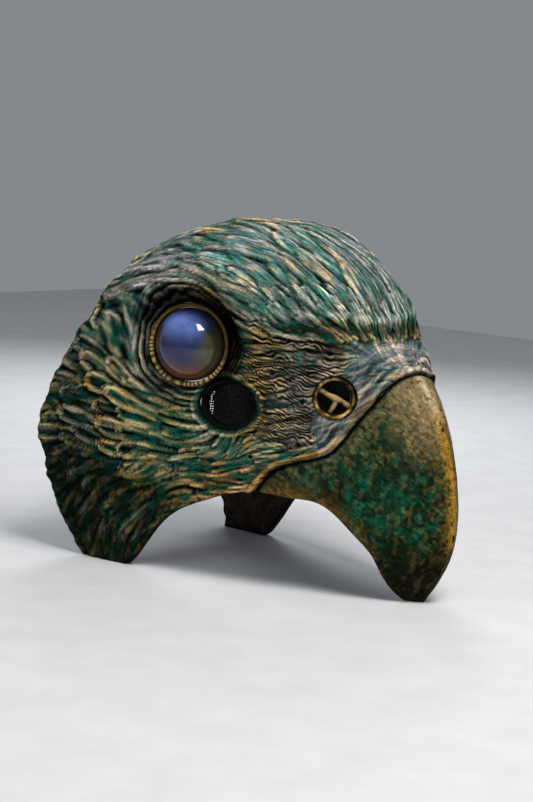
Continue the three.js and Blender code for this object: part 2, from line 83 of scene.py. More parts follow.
def unit(vector):
    vector = np.asarray(vector, float)
    return vector / np.linalg.norm(vector)


EYE_CENTRE = np.array([70.0, 25, 157.5])
EYE_AXIS = unit([0.93, -0.36, 0.06])
EYE_SPHERE_RADIUS = 26.0
EYE_RIM_RADIUS = 24.4
EYE_RIM_HEIGHT = math.sqrt(EYE_SPHERE_RADIUS ** 2 - EYE_RIM_RADIUS ** 2)
EYE_RIM_CENTRE = EYE_CENTRE + EYE_AXIS * EYE_RIM_HEIGHT
SOCKET_HOLE_RADIUS = 27.7
PORT_CENTRE = np.array([72.0, -9.5, 121])
PORT_AXIS = unit([0.96, -0.27, 0.1])
PORT_WIDTH = 40.0
PORT_HEIGHT = 32.0
NOSTRIL_CENTRE = np.array([47.5, -77.0, 133])
NOSTRIL_AXIS = unit([0.77, -0.63, 0.08])
NOSTRIL_HOLE_RADIUS = 14.4


def spline_bends(values):
    """Second derivatives of natural cubic splines along axis 0 through evenly numbered values."""
    last = len(values) - 1
    rest = 6 * (values[2:] - 2 * values[1:-1] + values[:-2])
    pivots = [4.0]
    for i in range(1, last - 1):
        carry = 1 / pivots[-1]
        pivots.append(4 - carry)
        rest[i] = rest[i] - carry * rest[i - 1]
    bends = np.zeros_like(values)
    for i in range(last - 1, 0, -1):
        bends[i] = (rest[i - 1] - bends[i + 1]) / pivots[i - 1]
    return bends


def spline_at(values, bends, position, pick=()):
    """Spline values at positions; pick holds further index arrays for the other axes."""
    i = np.clip(np.floor(position).astype(int), 0, len(values) - 2)
    b = position - i
    a = 1 - b
    if not pick:
        a = a[:, None, None]
        b = b[:, None, None]
        low, high = (i,), (i + 1,)
    else:
        a = a[:, None]
        b = b[:, None]
        low, high = (i, *pick), (i + 1, *pick)
    return (a * values[low] + b * values[high]
            + ((a ** 3 - a) * bends[low] + (b ** 3 - b) * bends[high]) / 6)


SECTION_BENDS = spline_bends(SECTIONS)


def base_points(s, v):
    """Points of the base surface for arrays of section numbers s and positions v from -1 to 1."""
    s, v = np.broadcast_arrays(np.asarray(s, float), np.asarray(v, float))
    shape = s.shape
    s = s.ravel()
    v = v.ravel()
    half = spline_at(SECTIONS, SECTION_BENDS, s)
    mirrored = half[:, :0:-1] * np.array([-1.0, 1, 1])
    full = np.concatenate([mirrored, half], 1).transpose(1, 0, 2)
    points = spline_at(full, spline_bends(full), 4 + 4 * v, (np.arange(len(s)),))
    return points.reshape(shape + (3,))


def base_normals(s, v):
    step = 0.02
    s, v = np.broadcast_arrays(np.asarray(s, float), np.asarray(v, float))
    s0 = np.clip(s - step, 0, LAST_SECTION - 0.25)
    v0 = np.clip(v - step, -1, 1 - 2 * step)
    along = base_points(s0 + 2 * step, v) - base_points(s0, v)
    around = base_points(s, v0 + 2 * step) - base_points(s, v0)
    normal = np.cross(along, around)
    return normal / np.linalg.norm(normal, axis=-1, keepdims=True)


# ------------------------------------------------------------------ fields
def smoothstep(low, high, value):
    t = np.clip((value - low) / (high - low), 0, 1)
    return t * t * (3 - 2 * t)


def mix(a, b, t):
    return a + (b - a) * t


def hashed(ix, iy, iz, seed):
    """Repeatable random numbers from 0 to 1 on an integer lattice."""
    h = (ix * 374761393 + iy * 668265263 + iz * 2147483647 + seed * 1274126177) & 0xFFFFFFFF
    h = ((h ^ (h >> 13)) * 1274126177) & 0xFFFFFFFF
    h = ((h ^ (h >> 16)) * 2246822519) & 0xFFFFFFFF
    return ((h ^ (h >> 15)) & 0xFFFFFF) / float(0xFFFFFF)


def noise(points, wavelength, seed):
    """Smooth noise from -1 to 1 in space."""
    q = points / wavelength
    cell = np.floor(q).astype(np.int64)
    f = q - cell
    f = f * f * (3 - 2 * f)
    total = 0
    for corner in range(8):
        dx, dy, dz = corner & 1, (corner >> 1) & 1, corner >> 2
        weight = (np.abs(1 - dx - f[..., 0]) * np.abs(1 - dy - f[..., 1]) * np.abs(1 - dz - f[..., 2]))
        total = total + weight * hashed(cell[..., 0] + dx, cell[..., 1] + dy, cell[..., 2] + dz, seed)
    return 2 * total - 1


def line_distance(points, line):
    """Distance to a polyline and the index, as a fraction, of the nearest place on it."""
    best = np.full(points.shape[:-1], 1e9)
    place = np.zeros(points.shape[:-1])
    for k in range(len(line) - 1):
        start = line[k]
        run = line[k + 1] - start
        t = np.clip(((points - start) @ run) / (run @ run), 0, 1)
        gap = np.linalg.norm(points - start - t[..., None] * run, axis=-1)
        nearer = gap < best
        best = np.where(nearer, gap, best)
        place = np.where(nearer, k + t, place)
    return best, place


def smooth_line(points, count):
    """Points on a smooth curve through a few points."""
    position = np.linspace(0, len(points) - 1, count)
    values = points[:, None, :]
    return spline_at(values, spline_bends(values), position)[:, 0]


def axis_frame(axis):
    """Unit directions across (forwards) and up in the plane square to an axis."""
    across = unit(np.cross(axis, [0, 0, 1]))
    return across, np.cross(across, axis)


def polar_about(points, centre, axis):
    """Height along an axis, distance from it, and angle from forwards towards up."""
    across, up = axis_frame(axis)
    offset = points - centre
    height = offset @ axis
    a = offset @ across
    b = offset @ up
    return height, np.hypot(a, b), np.arctan2(b, a)


def on_base(curve):
    """The curve moved onto the base form."""
    points = base_points(np.linspace(0, 12, 700)[:, None], np.linspace(0, 1, 500)[None]).reshape(-1, 3)
    return np.array([points[((points - place) ** 2).sum(1).argmin()] for place in curve])


BROW_CURVE = on_base(smooth_line(BROW_LINE, 60))
SEAM_CURVE = smooth_line(SEAM, 80)


def brow_place(folded):
    """Signed distance above the lower edge of the brow, and place along it."""
    gap, place = line_distance(folded, BROW_CURVE)
    nearest = BROW_CURVE[np.clip(np.round(place).astype(int), 0, len(BROW_CURVE) - 1)]
    return np.where(folded[..., 2] > nearest[..., 2], gap, -gap), place


def seam_place(folded):
    """Signed distance in front of the seam, seen from the side."""
    flat = folded[..., 1:]
    gap, place = line_distance(flat, SEAM_CURVE)
    k = np.clip(np.floor(place).astype(int), 0, len(SEAM_CURVE) - 2)
    run = SEAM_CURVE[k + 1] - SEAM_CURVE[k]
    offset = flat - SEAM_CURVE[k]
    side = run[..., 0] * offset[..., 1] - run[..., 1] * offset[..., 0]
    return np.where(side > 0, gap, -gap)


# Edge of the socket: degrees round the eye from forwards towards up, and millimetres from its axis
SOCKET_EDGE = np.array([[-90, 38], [-45, 41], [0, 44], [35, 40], [65, 36], [95, 35], [130, 38], [160, 44],
                        [178, 47], [200, 45], [235, 40], [270, 38]], float)
SHOULDER = np.array([37.0, -86, 150])         # soft swelling of the cere above each nostril


def socket_edge(angle):
    turn = np.degrees(angle)
    turn = np.where(turn < -90, turn + 360, turn)
    return np.interp(turn, SOCKET_EDGE[:, 0], SOCKET_EDGE[:, 1])


def large_relief(folded):
    """How far the large forms stand out of the base form, as in the design, but sharper."""
    above, _ = brow_place(folded)
    height, reach, angle = polar_about(folded, EYE_RIM_CENTRE, EYE_AXIS)
    edge = socket_edge(angle)
    upper = smoothstep(-0.15, 0.6, np.sin(angle))
    wall = np.minimum(mix(15, 7.5, upper), edge - 28.5)
    in_socket = 1 - smoothstep(edge - wall, edge, reach)
    front = smoothstep(-15, -45, folded[..., 1])
    shelf = np.where(above > 0, np.exp(-(above / 22) ** 2), np.exp(-(above / mix(7.0, 16.0, front)) ** 2))
    shelf = shelf * mix(BROW_HEIGHT, 1.6, front) * smoothstep(125, 75, folded[..., 1])
    hood = 9.0 * upper * np.exp(-((reach - edge - 3.0) / 8.0) ** 2) * (reach > edge - wall)
    hood = hood * smoothstep(85, 48, folded[..., 1])
    shoulder = 7.5 * np.exp(-((folded - SHOULDER) ** 2).sum(-1) / 19 ** 2)
    return np.maximum(shelf, hood) * (1 - in_socket) + shoulder + (-1.5 - height) * in_socket


def shell_points(s, v, depth):
    points = base_points(s, v)
    folded = points.copy()
    folded[..., 0] = np.abs(folded[..., 0])
    return points + base_normals(s, v) * (large_relief(folded) - depth)[..., None]


# ------------------------------------------------------------------ fine grid of the outer skin
ROWS = 500 if FINE else 220
COLUMNS = 480 if FINE else 230


def even_rows(count):
    """Section numbers that step about evenly along the surface."""
    s = np.linspace(0, LAST_SECTION, 600)
    length = 0
    for v in (0.0, 0.3, 0.6, 0.85):
        points = base_points(s, np.full_like(s, v))
        length = length + np.concatenate([[0], np.cumsum(np.linalg.norm(np.diff(points, axis=0), axis=1))])
    return np.interp(np.linspace(0, length[-1], count), length, s)


row_s = even_rows(ROWS)
col_v = np.linspace(-1, 1, COLUMNS)
grid_s = np.repeat(row_s[:, None], COLUMNS, 1)
grid_v = np.repeat(col_v[None], ROWS, 0)

# The rear rim and the lappets end raggedly, in tufts.
first = base_points(grid_s, grid_v)
rag = 0.055 * noise(first, 14, 3) + 0.035 * noise(first, 6, 4) + 0.02 * noise(first, 3, 5)
grid_s = grid_s + (rag - 0.01) * (1 - smoothstep(0, 0.7, grid_s))
base = base_points(grid_s, grid_v)
normals = base_normals(grid_s, grid_v)
folded = base.copy()
folded[..., 0] = np.abs(folded[..., 0])
relief = large_relief(folded)
surface = base + normals * relief[..., None]

step_i = np.gradient(base, axis=0)
step_j = np.gradient(base, axis=1)
metric_ii = (step_i ** 2).sum(-1)
metric_jj = (step_j ** 2).sum(-1) + 1e-9
metric_ij = (step_i * step_j).sum(-1)
metric_det = metric_ii * metric_jj - metric_ij ** 2 + 1e-9


def to_grid(direction):
    """A direction in space as grid steps for each millimetre along the surface."""
    a = (direction * step_i).sum(-1)
    b = (direction * step_j).sum(-1)
    di = (a * metric_jj - b * metric_ij) / metric_det
    dj = (b * metric_ii - a * metric_ij) / metric_det
    length = np.sqrt(di ** 2 * metric_ii + dj ** 2 * metric_jj + 2 * di * dj * metric_ij) + 1e-9
    return di / length, dj / length


def sample(field, i, j):
    """Bilinear reading of a grid field."""
    i = np.clip(i, 0, ROWS - 1.001)
    j = np.clip(j, 0, COLUMNS - 1.001)
    i0 = i.astype(int)
    j0 = j.astype(int)
    fi = i - i0
    fj = j - j0
    if field.ndim == 3:
        fi = fi[..., None]
        fj = fj[..., None]
    return (field[i0, j0] * (1 - fi) * (1 - fj) + field[i0 + 1, j0] * fi * (1 - fj)
            + field[i0, j0 + 1] * (1 - fi) * fj + field[i0 + 1, j0 + 1] * fi * fj)


def blur(field, radius):
    """Soft average over the grid neighbours."""
    offsets = np.arange(-2 * radius, 2 * radius + 1)
    weights = np.exp(-(offsets / radius) ** 2)
    weights /= weights.sum()
    for axis in (0, 1):
        padded = np.take(field, np.clip(np.arange(-2 * radius, field.shape[axis] + 2 * radius), 0,
                                        field.shape[axis] - 1), axis=axis)
        total = 0
        for k, weight in enumerate(weights):
            total = total + weight * np.take(padded, np.arange(k, k + field.shape[axis]), axis=axis)
        field = total
    return field


# ---- direction in which the feathers lie, from root to tip, at listed points
FLOW = np.array([
    # x, y, z, then direction x, y, z
    [0, -60, 205, 0, 0.7, 0.7], [40, -52, 198, 0.25, 0.5, 0.85], [0, -20, 232, 0, 1, 0.1],
    [35, -15, 228, -0.35, 1, 0.3], [0, 30, 238, 0, 1, 0], [40, 40, 230, 0.45, 1, 0],
    [60, 10, 222, 0.3, 1, 0.2], [0, 75, 226, 0, 1, -0.2], [60, 80, 206, 0.4, 0.9, -0.4],
    [60, -35, 190, 0.4, 0.75, 0.55], [20, -68, 186, 0.1, 0.4, 0.9],
    [84, 30, 200, 0, 1, 0], [80, -5, 197, 0.1, 1, 0.3], [88, 62, 192, 0, 1, -0.3],
    [90, 84, 178, 0, 0.9, -0.5], [78, 12, 214, 0, 1, 0.25],
    [86, 62, 172, 0, 0.2, 1], [88, 78, 166, 0, 0.45, 0.9], [88, 57, 150, 0, 0.25, 1],
    [88, 95, 162, 0, 0.8, 0.6], [93, 98, 146, 0, 1, 0.25], [94, 72, 142, 0, 0.9, 0.6],
    [94, 95, 124, 0, 1, 0.15], [90, 58, 124, 0, 1, 0.5],
    [94, 120, 110, 0, 1, 0.1], [93, 98, 88, 0, 1, 0.25], [88, 40, 108, 0, 1, 0.3], [90, 70, 100, 0, 1, 0.3],
    [84, 33, 130, 0, 1, 0.1], [86, 42, 90, 0, 1, 0.25], [80, 5, 88, 0, 1, -0.3], [74, -14, 98, 0, 0.3, -1],
    [72, -18, 76, 0, 1, -0.1], [76, 12, 68, 0, 1, 0], [80, 38, 62, 0, 0.9, -0.4],
    [84, 58, 70, 0, 0.9, -0.25], [82, 62, 42, 0, 0.6, -0.8], [80, 78, 20, 0, 0.35, -0.95],
    [88, 95, 50, 0, 0.5, -0.85], [88, 112, 65, 0, 0.8, -0.5],
    [60, -55, 160, -0.1, 1, -0.05], [64, -42, 135, 0.2, 1, -0.3], [66, -38, 112, 0.2, 1, -0.25],
    [58, -62, 100, 0.3, 1, -0.35], [50, -72, 110, 0.3, 0.9, -0.5], [66, -35, 82, 0.2, 1, -0.2],
    [20, -85, 166, 0.1, 1, 0.1], [30, -95, 150, 0.3, 0.9, -0.5], [35, -90, 140, 0.4, 0.8, -0.6],
    [0, -125, 125, 0, 0.5, 1], [30, -115, 80, 0, 0.4, 1],
], float)


def flow_directions():
    total = 0
    weight_sum = 0
    for x, y, z, dx, dy, dz in FLOW:
        gap = np.linalg.norm(folded - np.array([x, y, z]), axis=-1)
        weight = (1 / (gap + 4) ** 3.5)[..., None]
        total = total + weight * unit([dx, dy, dz])
        weight_sum = weight_sum + weight
    flow = total / weight_sum
    # round the eye the strands run in circles
    height, reach, angle = polar_about(folded, EYE_RIM_CENTRE, EYE_AXIS)
    across, up = axis_frame(EYE_AXIS)
    tangent = (np.sin(angle)[..., None] * across - np.cos(angle)[..., None] * up)
    rounding = (1 - smoothstep(29, 35, reach))[..., None]
    flow = mix(flow, np.where((flow * tangent).sum(-1, keepdims=True) < 0, -tangent, tangent), rounding)
    flow[..., 0] *= np.sign(base[..., 0])
    flow = flow - normals * (flow * normals).sum(-1, keepdims=True)
    flow /= np.linalg.norm(flow, axis=-1, keepdims=True) + 1e-9
    # S-shaped wandering, strongest on the crown
    crown = smoothstep(200, 222, base[..., 2])
    swing = (0.2 + 0.45 * crown) * noise(base, 38, 11) + (0.12 + 0.15 * crown) * noise(base, 17, 12)
    swing = swing * (1 - rounding[..., 0])
    side = np.cross(normals, flow)
    return flow * np.cos(swing)[..., None] + side * np.sin(swing)[..., None]


flow = flow_directions()
flow_i, flow_j = to_grid(flow)


def streaks(field, reach, steps):
    """The field averaged along the flow, which draws it out into strands."""
    rows, columns = np.meshgrid(np.arange(ROWS, dtype=float), np.arange(COLUMNS, dtype=float), indexing="ij")
    total = field.copy()
    weight_sum = 1.0
    pace = reach / steps
    for direction in (1, -1):
        i, j = rows.copy(), columns.copy()
        for k in range(1, steps + 1):
            di = sample(flow_i, i, j)
            dj = sample(flow_j, i, j)
            i = i + direction * pace * di
            j = j + direction * pace * dj
            weight = 0.5 + 0.5 * math.cos(math.pi * k / (steps + 1))
            total = total + weight * sample(field, i, j)
            weight_sum += weight
    total = total / weight_sum
    return total / (total.std() + 1e-9)


# ---- regions
out = folded[..., 0]                  # distance from the middle plane
aft = base[..., 1]                    # distance to the rear of the head's middle
level = base[..., 2]                  # height above the floor
above_brow, _ = brow_place(folded)
seam_gap = seam_place(folded)
eye_height, eye_reach, eye_angle = polar_about(folded, EYE_RIM_CENTRE, EYE_AXIS)
port_height, port_reach, port_angle = polar_about(folded, PORT_CENTRE, PORT_AXIS)
nostril_height, nostril_reach, _ = polar_about(folded, NOSTRIL_CENTRE, NOSTRIL_AXIS)
port_oval = 2 * port_reach * np.hypot(np.cos(port_angle) / PORT_WIDTH, np.sin(port_angle) / PORT_HEIGHT)
port_side = np.abs(port_height) < 25
near_port = (1 - smoothstep(1.05, 1.3, port_oval)) * port_side
near_nostril = (1 - smoothstep(15, 20, nostril_reach)) * (np.abs(nostril_height) < 20)
beak_side = smoothstep(0.0, 1.0, seam_gap)
drips = (2.6 * noise(base * np.array([1, 0.4, 0.15]), 5.5, 51)
         + 1.4 * noise(base * np.array([1, 1, 0.4]), 3, 52))
front = smoothstep(-25, -48, aft)
ledge_drop = -2 - 8 * front + drips * front
cere = (smoothstep(-34, -18, seam_gap) * (1 - beak_side) * smoothstep(-62, -74, aft)
        * smoothstep(1, -2, above_brow - ledge_drop))
cere = np.maximum(cere, smoothstep(46, 34, out) * smoothstep(1, -2, above_brow - ledge_drop)
                  * (aft < -60) * (1 - beak_side))
socket = (1 - smoothstep(36, 44, eye_reach)) * (np.abs(eye_height) < 30)
border = 7 * noise(base, 18, 15) + 3 * noise(base, 7, 16)
lore = (smoothstep(-12, -26, aft + border) * smoothstep(-1, -4, above_brow - ledge_drop) * (1 - beak_side)
        * (1 - cere) * (1 - socket) * smoothstep(92, 106, level + border))
crown = smoothstep(6, 22, above_brow) * smoothstep(165, 200, level)
lappet = smoothstep(74, 52, level - 0.25 * (aft - 40)) * smoothstep(15, 35, aft)
brow_band = smoothstep(-2, 2, above_brow) * (1 - smoothstep(14, 26, above_brow)) * smoothstep(-32, -14, aft)
cheek = 1
for region in (crown, lappet, lore, socket, brow_band, beak_side, cere):
    cheek = cheek * (1 - region)

# ---- strands of three widths
coarse = streaks(noise(base, 6.5, 21), 26, 14)
medium = streaks(noise(base, 3.6, 22), 15, 12)
fine = streaks(noise(base, 2.1, 23), 9, 9)


def grooves(field, width):
    """Narrow cuts where a strand field changes sign."""
    return np.exp(-(field / width) ** 2)


height = np.zeros_like(relief)
coarse_share = 0.25 + 0.75 * cheek + 0.6 * lappet + 0.35 * crown + 0.5 * brow_band
medium_share = 0.35 + 0.4 * cheek + 0.5 * lore + 0.3 * lappet
height -= 1.15 * grooves(coarse, 0.26) * coarse_share
height -= 0.85 * grooves(medium, 0.34) * medium_share
height += 0.34 * medium + 0.22 * fine


# ---- overlapping tufts, painted as paths that follow the flow
random = np.random.default_rng(7)
cell_area = np.sqrt(metric_det)


def scatter(region, spacing):
    """Random grid places inside a region, about one for each spacing x spacing mm."""
    weight = (region * cell_area).ravel()
    count = int(weight.sum() / spacing ** 2)
    chosen = random.choice(len(weight), size=count, p=weight / weight.sum())
    i = chosen // COLUMNS + random.uniform(-0.5, 0.5, count)
    j = chosen % COLUMNS + random.uniform(-0.5, 0.5, count)
    return np.clip(i, 0, ROWS - 1), np.clip(j, 0, COLUMNS - 1)


def trace(i, j, length, points):
    """Grid paths along the flow from each place, with the place in the middle of its path."""
    half = points // 2
    pace = length / (points - 1)
    ways = []
    for direction, steps in ((-1, half), (1, points - 1 - half)):
        a, b = i.copy(), j.copy()
        way = []
        for _ in range(steps):
            da = sample(flow_i, a, b)
            db = sample(flow_j, a, b)
            a = np.clip(a + direction * pace * da, 0, ROWS - 1)
            b = np.clip(b + direction * pace * db, 0, COLUMNS - 1)
            way.append((a, b))
        ways.append(way)
    path = ways[0][::-1] + [(i, j)] + ways[1]
    return np.array([p[0] for p in path]).T, np.array([p[1] for p in path]).T


PATH_POINTS = 22
layers = np.zeros_like(relief)        # height of the painted tufts
tone = np.full_like(relief, 0.5)      # random shade of the tuft that lies on top
rim = np.zeros_like(relief)           # raised edges and tips, which catch the gold
combing = np.zeros(relief.shape + (3,))    # place across and along the tuft on top, and its number


def paint_tufts(region, spacing, half_width, length, lift, ribs=0.3, pitch=1.7, loop=0.0, apart=0.0, sense=1,
                tilt=0.0):
    """Lays tufts over a region.

    loop is how much of the lift lies in a raised rim, apart keeps the tips away from each other,
    sense -1 turns the tufts round, and tilt raises one side."""
    seeds_i, seeds_j = scatter(region, spacing)
    lengths = random.uniform(*length, len(seeds_i))
    widths = random.uniform(*half_width, len(seeds_i))
    path_i, path_j = trace(seeds_i, seeds_j, lengths, PATH_POINTS)
    path_i = path_i[:, ::sense]
    path_j = path_j[:, ::sense]
    path = sample(surface, path_i, path_j)
    keep = sample(region, path_i[:, -1], path_j[:, -1]) > 0.05
    if apart:
        kept = []
        for n in np.nonzero(keep)[0]:
            if all(np.linalg.norm(path[n, -4] - path[m, -4]) > apart for m in kept):
                kept.append(n)
        keep = np.isin(np.arange(len(keep)), kept)
    cell = np.sqrt(sample(cell_area, seeds_i, seeds_j))
    for n in np.nonzero(keep)[0]:
        margin = 1.3 * widths[n] / max(cell[n], 0.4) + 2
        i0 = int(max(path_i[n].min() - margin, 0))
        i1 = int(min(path_i[n].max() + margin + 2, ROWS))
        j0 = int(max(path_j[n].min() - margin, 0))
        j1 = int(min(path_j[n].max() + margin + 2, COLUMNS))
        block = surface[i0:i1, j0:j1].reshape(-1, 3)
        squares = (block ** 2).sum(1)[:, None] - 2 * block @ path[n].T + (path[n] ** 2).sum(1)
        nearest = squares.argmin(1)
        tangents = np.gradient(path[n], axis=0)
        tangents /= np.linalg.norm(tangents, axis=1, keepdims=True) + 1e-9
        offset = block - path[n][nearest]
        along = (offset * tangents[nearest]).sum(1)
        t = nearest / (PATH_POINTS - 1) + along / lengths[n]
        across = np.cross(normals[i0:i1, j0:j1].reshape(-1, 3), tangents[nearest])
        d = (offset * across).sum(1)
        phase = random.uniform(0, 6.28)
        comb = np.cos(2 * np.pi * d / pitch + phase)
        t = t * (1 + (0.035 + 0.03 * loop) * comb)
        leaf = np.where(t < 0.7, 0.42 + 0.58 * smoothstep(0, 0.7, t),
                        np.sqrt(np.clip(1 - ((t - 0.7) / 0.3) ** 2, 0, 1)))
        span = np.abs(d) / (widths[n] * leaf + 1e-6)
        inside = (t > 0) & (t < 1) & (span < 1)
        crest = np.sqrt(np.clip(1 - span ** 5, 0, 1))
        rise = 0.2 + 0.8 * np.clip(t, 0, 1) ** 0.9
        edge = np.exp(-((span - 0.78) / 0.22) ** 2)
        edge = np.maximum(edge, np.exp(-((t - 0.94) / 0.05) ** 2))
        body = crest * (1 - loop) + loop * edge
        tall = lift * random.uniform(0.75, 1.2) * rise * body + ribs * comb * crest * (0.5 + 0.5 * rise)
        tall = tall + random.uniform(-0.25, 0.25) * lift + tilt * lift * d / widths[n] * rise
        shape = (i1 - i0, j1 - j0)
        tall = np.where(inside, tall, -9).reshape(shape)
        above = tall > layers[i0:i1, j0:j1]
        layers[i0:i1, j0:j1][above] = tall[above]
        tone[i0:i1, j0:j1][above] = random.uniform(0, 1)
        rim[i0:i1, j0:j1][above] = (edge * (0.45 + 0.55 * loop)).reshape(shape)[above]
        place = np.stack([d, t * lengths[n], np.full_like(d, 10.0 * (n % 97))], -1).reshape(shape + (3,))
        combing[i0:i1, j0:j1][above] = place[above]


fan = smoothstep(134, 150, level) * smoothstep(97, 85, aft) * smoothstep(38, 50, aft) * cheek
loops_zone = (cheek - fan) * smoothstep(36, 50, aft + 0.12 * (level - 110)) * (level < 178)
fringe = smoothstep(-2, 3, above_brow) * (1 - smoothstep(20, 30, above_brow)) * smoothstep(-24, -36, aft)
paint_tufts(lappet, 5.2, (1.8, 3.6), (30, 60), 1.9, ribs=0.2)
paint_tufts(cheek - 0.85 * fan, 4.6, (1.1, 2.3), (18, 44), 1.9, ribs=0.1, pitch=2.6)
paint_tufts(brow_band, 4.8, (1.2, 2.8), (35, 75), 2.2, ribs=0.2)
paint_tufts(crown * (1 - fringe), 9.5, (3.0, 6.0), (30, 60), 2.0, ribs=0.2, pitch=2.2)
paint_tufts(crown * (1 - fringe), 12.0, (5.5, 10.0), (40, 80), 3.0, ribs=0.2, pitch=2.4, apart=9.0, tilt=0.45)
paint_tufts(fringe, 4.4, (1.3, 2.8), (22, 44), 1.9, ribs=0.12)
paint_tufts(loops_zone, 8.0, (5.2, 7.6), (30, 52), 4.4, ribs=0.2, pitch=2.6, loop=0.6, apart=12.0)
drip_zone = np.exp(-((above_brow + 3) / 6) ** 2) * smoothstep(-16, -34, aft)
before = layers.copy()
paint_tufts(drip_zone, 3.0, (0.9, 1.7), (13, 26), 1.8, ribs=0.08, sense=-1)
dripping = (layers != before).astype(float)

layers = mix(layers, blur(layers, 1), 0.85)
rim = mix(rim, blur(rim, 1), 0.6)
covered = 1 - smoothstep(0.6, 1.0, np.maximum.reduce([lore, socket, cere, beak_side]))
covered = blur(np.maximum(covered, dripping), 1)
height = height * np.where(covered > 0.5, 0.6, 1.0) + layers * covered

# ---- fan of upright ridges under the end of the brow
fan_angle = np.arctan2(aft - 44, level - 112)
fan_ridges = np.cos(19 * fan_angle + 0.9 * noise(base, 16, 33) + 0.4 * noise(base, 6, 34))
height = height * (1 - 0.6 * fan) + 1.15 * fan * fan_ridges

# ---- socket: rings of folds round the eye
fold_warp = 1.4 * noise(base, 13, 31) + 0.8 * noise(base, 6, 32)
folds = np.cos(2 * np.pi * (eye_reach + fold_warp) / 3.6)
fold_zone = socket * smoothstep(28.5, 31, eye_reach)
height += fold_zone * (0.75 * folds - 0.3)

# ---- lore: short broken wrinkles that fan out from the nostril
wrinkle_warp = 4.0 * noise(base, 15, 41) + 2.4 * noise(base, 5.5, 42) + 0.8 * noise(base, 3.4, 44)
slant = level - 0.22 * aft + wrinkle_warp
wrinkles = np.cos(2 * np.pi * slant / 2.5)
broken = smoothstep(-0.45, 0.25, noise(base * np.array([1, 0.7, 1.5]), 4.6, 43))
height += lore * (0.75 * np.sign(wrinkles) * np.abs(wrinkles) ** 0.7 * broken + 0.25 * medium)

# ---- ledge of the forehead over the cere, and the cere's soft folds
height += front * 1.5 * np.exp(-((above_brow - 4.0 - 0.6 * drips) / 4.0) ** 2)
soft_folds = np.cos(2 * np.pi * (seam_gap + 2.2 * noise(base, 22, 61)) / 4.6)
near_seam = smoothstep(-24, -6, seam_gap)
cere_relief = 0.55 * soft_folds * near_seam + 0.5 * noise(base, 9, 62) + 0.25 * medium
height += cere * (1 - near_nostril) * cere_relief
nostril_swell = np.exp(-((nostril_reach - 15.5) / 4.5) ** 2) * (np.abs(nostril_height) < 18)
height += nostril_swell * 2.6 * (1 - beak_side)
height -= near_nostril * (layers * covered + 0.3)

# ---- raised lip of the cere along the seam, and the groove on the beak's side
lip_height = mix(0.7, 2.0, smoothstep(8, 26, out))
height += lip_height * np.exp(-((seam_gap + 3.3) / 1.8) ** 2) * (1 - beak_side)
height -= 1.3 * np.exp(-(seam_gap / 1.6) ** 2) * (seam_gap > -0.6)

# ---- beak: dents, pits and fine brush lines
dents = 0.35 * noise(base, 16, 71) + 0.16 * noise(base, 6, 72) - 0.5 * (noise(base, 3.0, 73) > 0.72)
dents = dents - 0.6 * (noise(base, 2.6, 97) > 0.62) * np.exp(-(out / 12) ** 2)
height = height * (1 - beak_side * 0.985) + beak_side * dents
height -= 1.3 * np.exp(-(seam_gap / 1.6) ** 2) * beak_side

# ---- rounding at the ports
height = height * (1 - near_port) + near_port * (0.25 * medium - 0.2)
height -= 2.4 * (1 - smoothstep(0.98, 1.16, port_oval)) * port_side
height += 1.1 * np.exp(-((port_oval - 1.24) / 0.07) ** 2) * port_side

# ---- run of the finest wrinkles where there are no tufts
bare = covered < 0.4
nothing = np.zeros_like(slant)
runs = np.stack([slant, aft, nothing + 3.0], -1)
for region, way in (
        (cere > 0.5, (0.6 * seam_gap + 1.5 * noise(base, 9, 63), 0.5 * level, nothing)),
        (socket > 0.4, (eye_reach + fold_warp, 25 * eye_angle, nothing)),
        (beak_side > 0.5, (0.8 * level - 0.6 * aft, 0.6 * level + 0.8 * aft,
                           0.4 * base[..., 0]))):
    runs[region] = np.stack(way, -1)[region]
combing[bare] = runs[bare]

height = np.clip(height, -3.2, 7.0)
fade = smoothstep(0, 10, level)                       # flat rest on the floor
skin = base + normals * (relief + height)[..., None]
skin[..., 2] = np.where(level < 8, mix(level, skin[..., 2], fade), skin[..., 2])

# ------------------------------------------------------------------ paint of the skin
def neighbours(field, pick, reach):
    """The largest or smallest value within a few grid steps."""
    for axis in (0, 1):
        best = field
        for shift in range(-reach, reach + 1):
            best = pick(best, np.roll(field, shift, axis))
        field = best
    return field


hollow_small = height - blur(height, 2)
hollow_large = height - blur(height, 6)
cavity = 0.75 * hollow_small / 0.45 + 0.5 * hollow_large / 1.1
# painted shadow: how far a nearby raised edge stands above each point
under_edge_shadow = np.clip((neighbours(height, np.maximum, 2) - height - 0.8) / 1.5, 0, 1)
# raised edges, for gold and cream that is partly real dry-brushing and partly painted highlight
edge_drybrush_and_highlight = np.clip((height - neighbours(height, np.minimum, 2) - 0.7) / 1.4, 0, 1)
edge_drybrush_and_highlight = edge_drybrush_and_highlight * smoothstep(0.7, 0.15, neighbours(height, np.maximum, 1) - height)


def rgb(red, green, blue):
    """Linear colour from display values out of 255."""
    c = np.array([red, green, blue]) / 255
    return np.where(c <= 0.04045, c / 12.92, ((c + 0.055) / 1.055) ** 2.4)


def tinted(a, b, t):
    """Colour a with the share t of colour b."""
    return a + (b - a) * np.clip(t, 0, 1)[..., None]


def brush(layer, colour, amount):
    """Lays a colour over a layer of paint."""
    layer[:] = tinted(layer, colour, amount)


patches = noise(base, 26, 81)
patches_small = noise(base, 9, 82)
flecks = streaks(noise(base, 3.0, 83), 8, 6)
threads = streaks(noise(base, 1.9, 84), 12, 9)

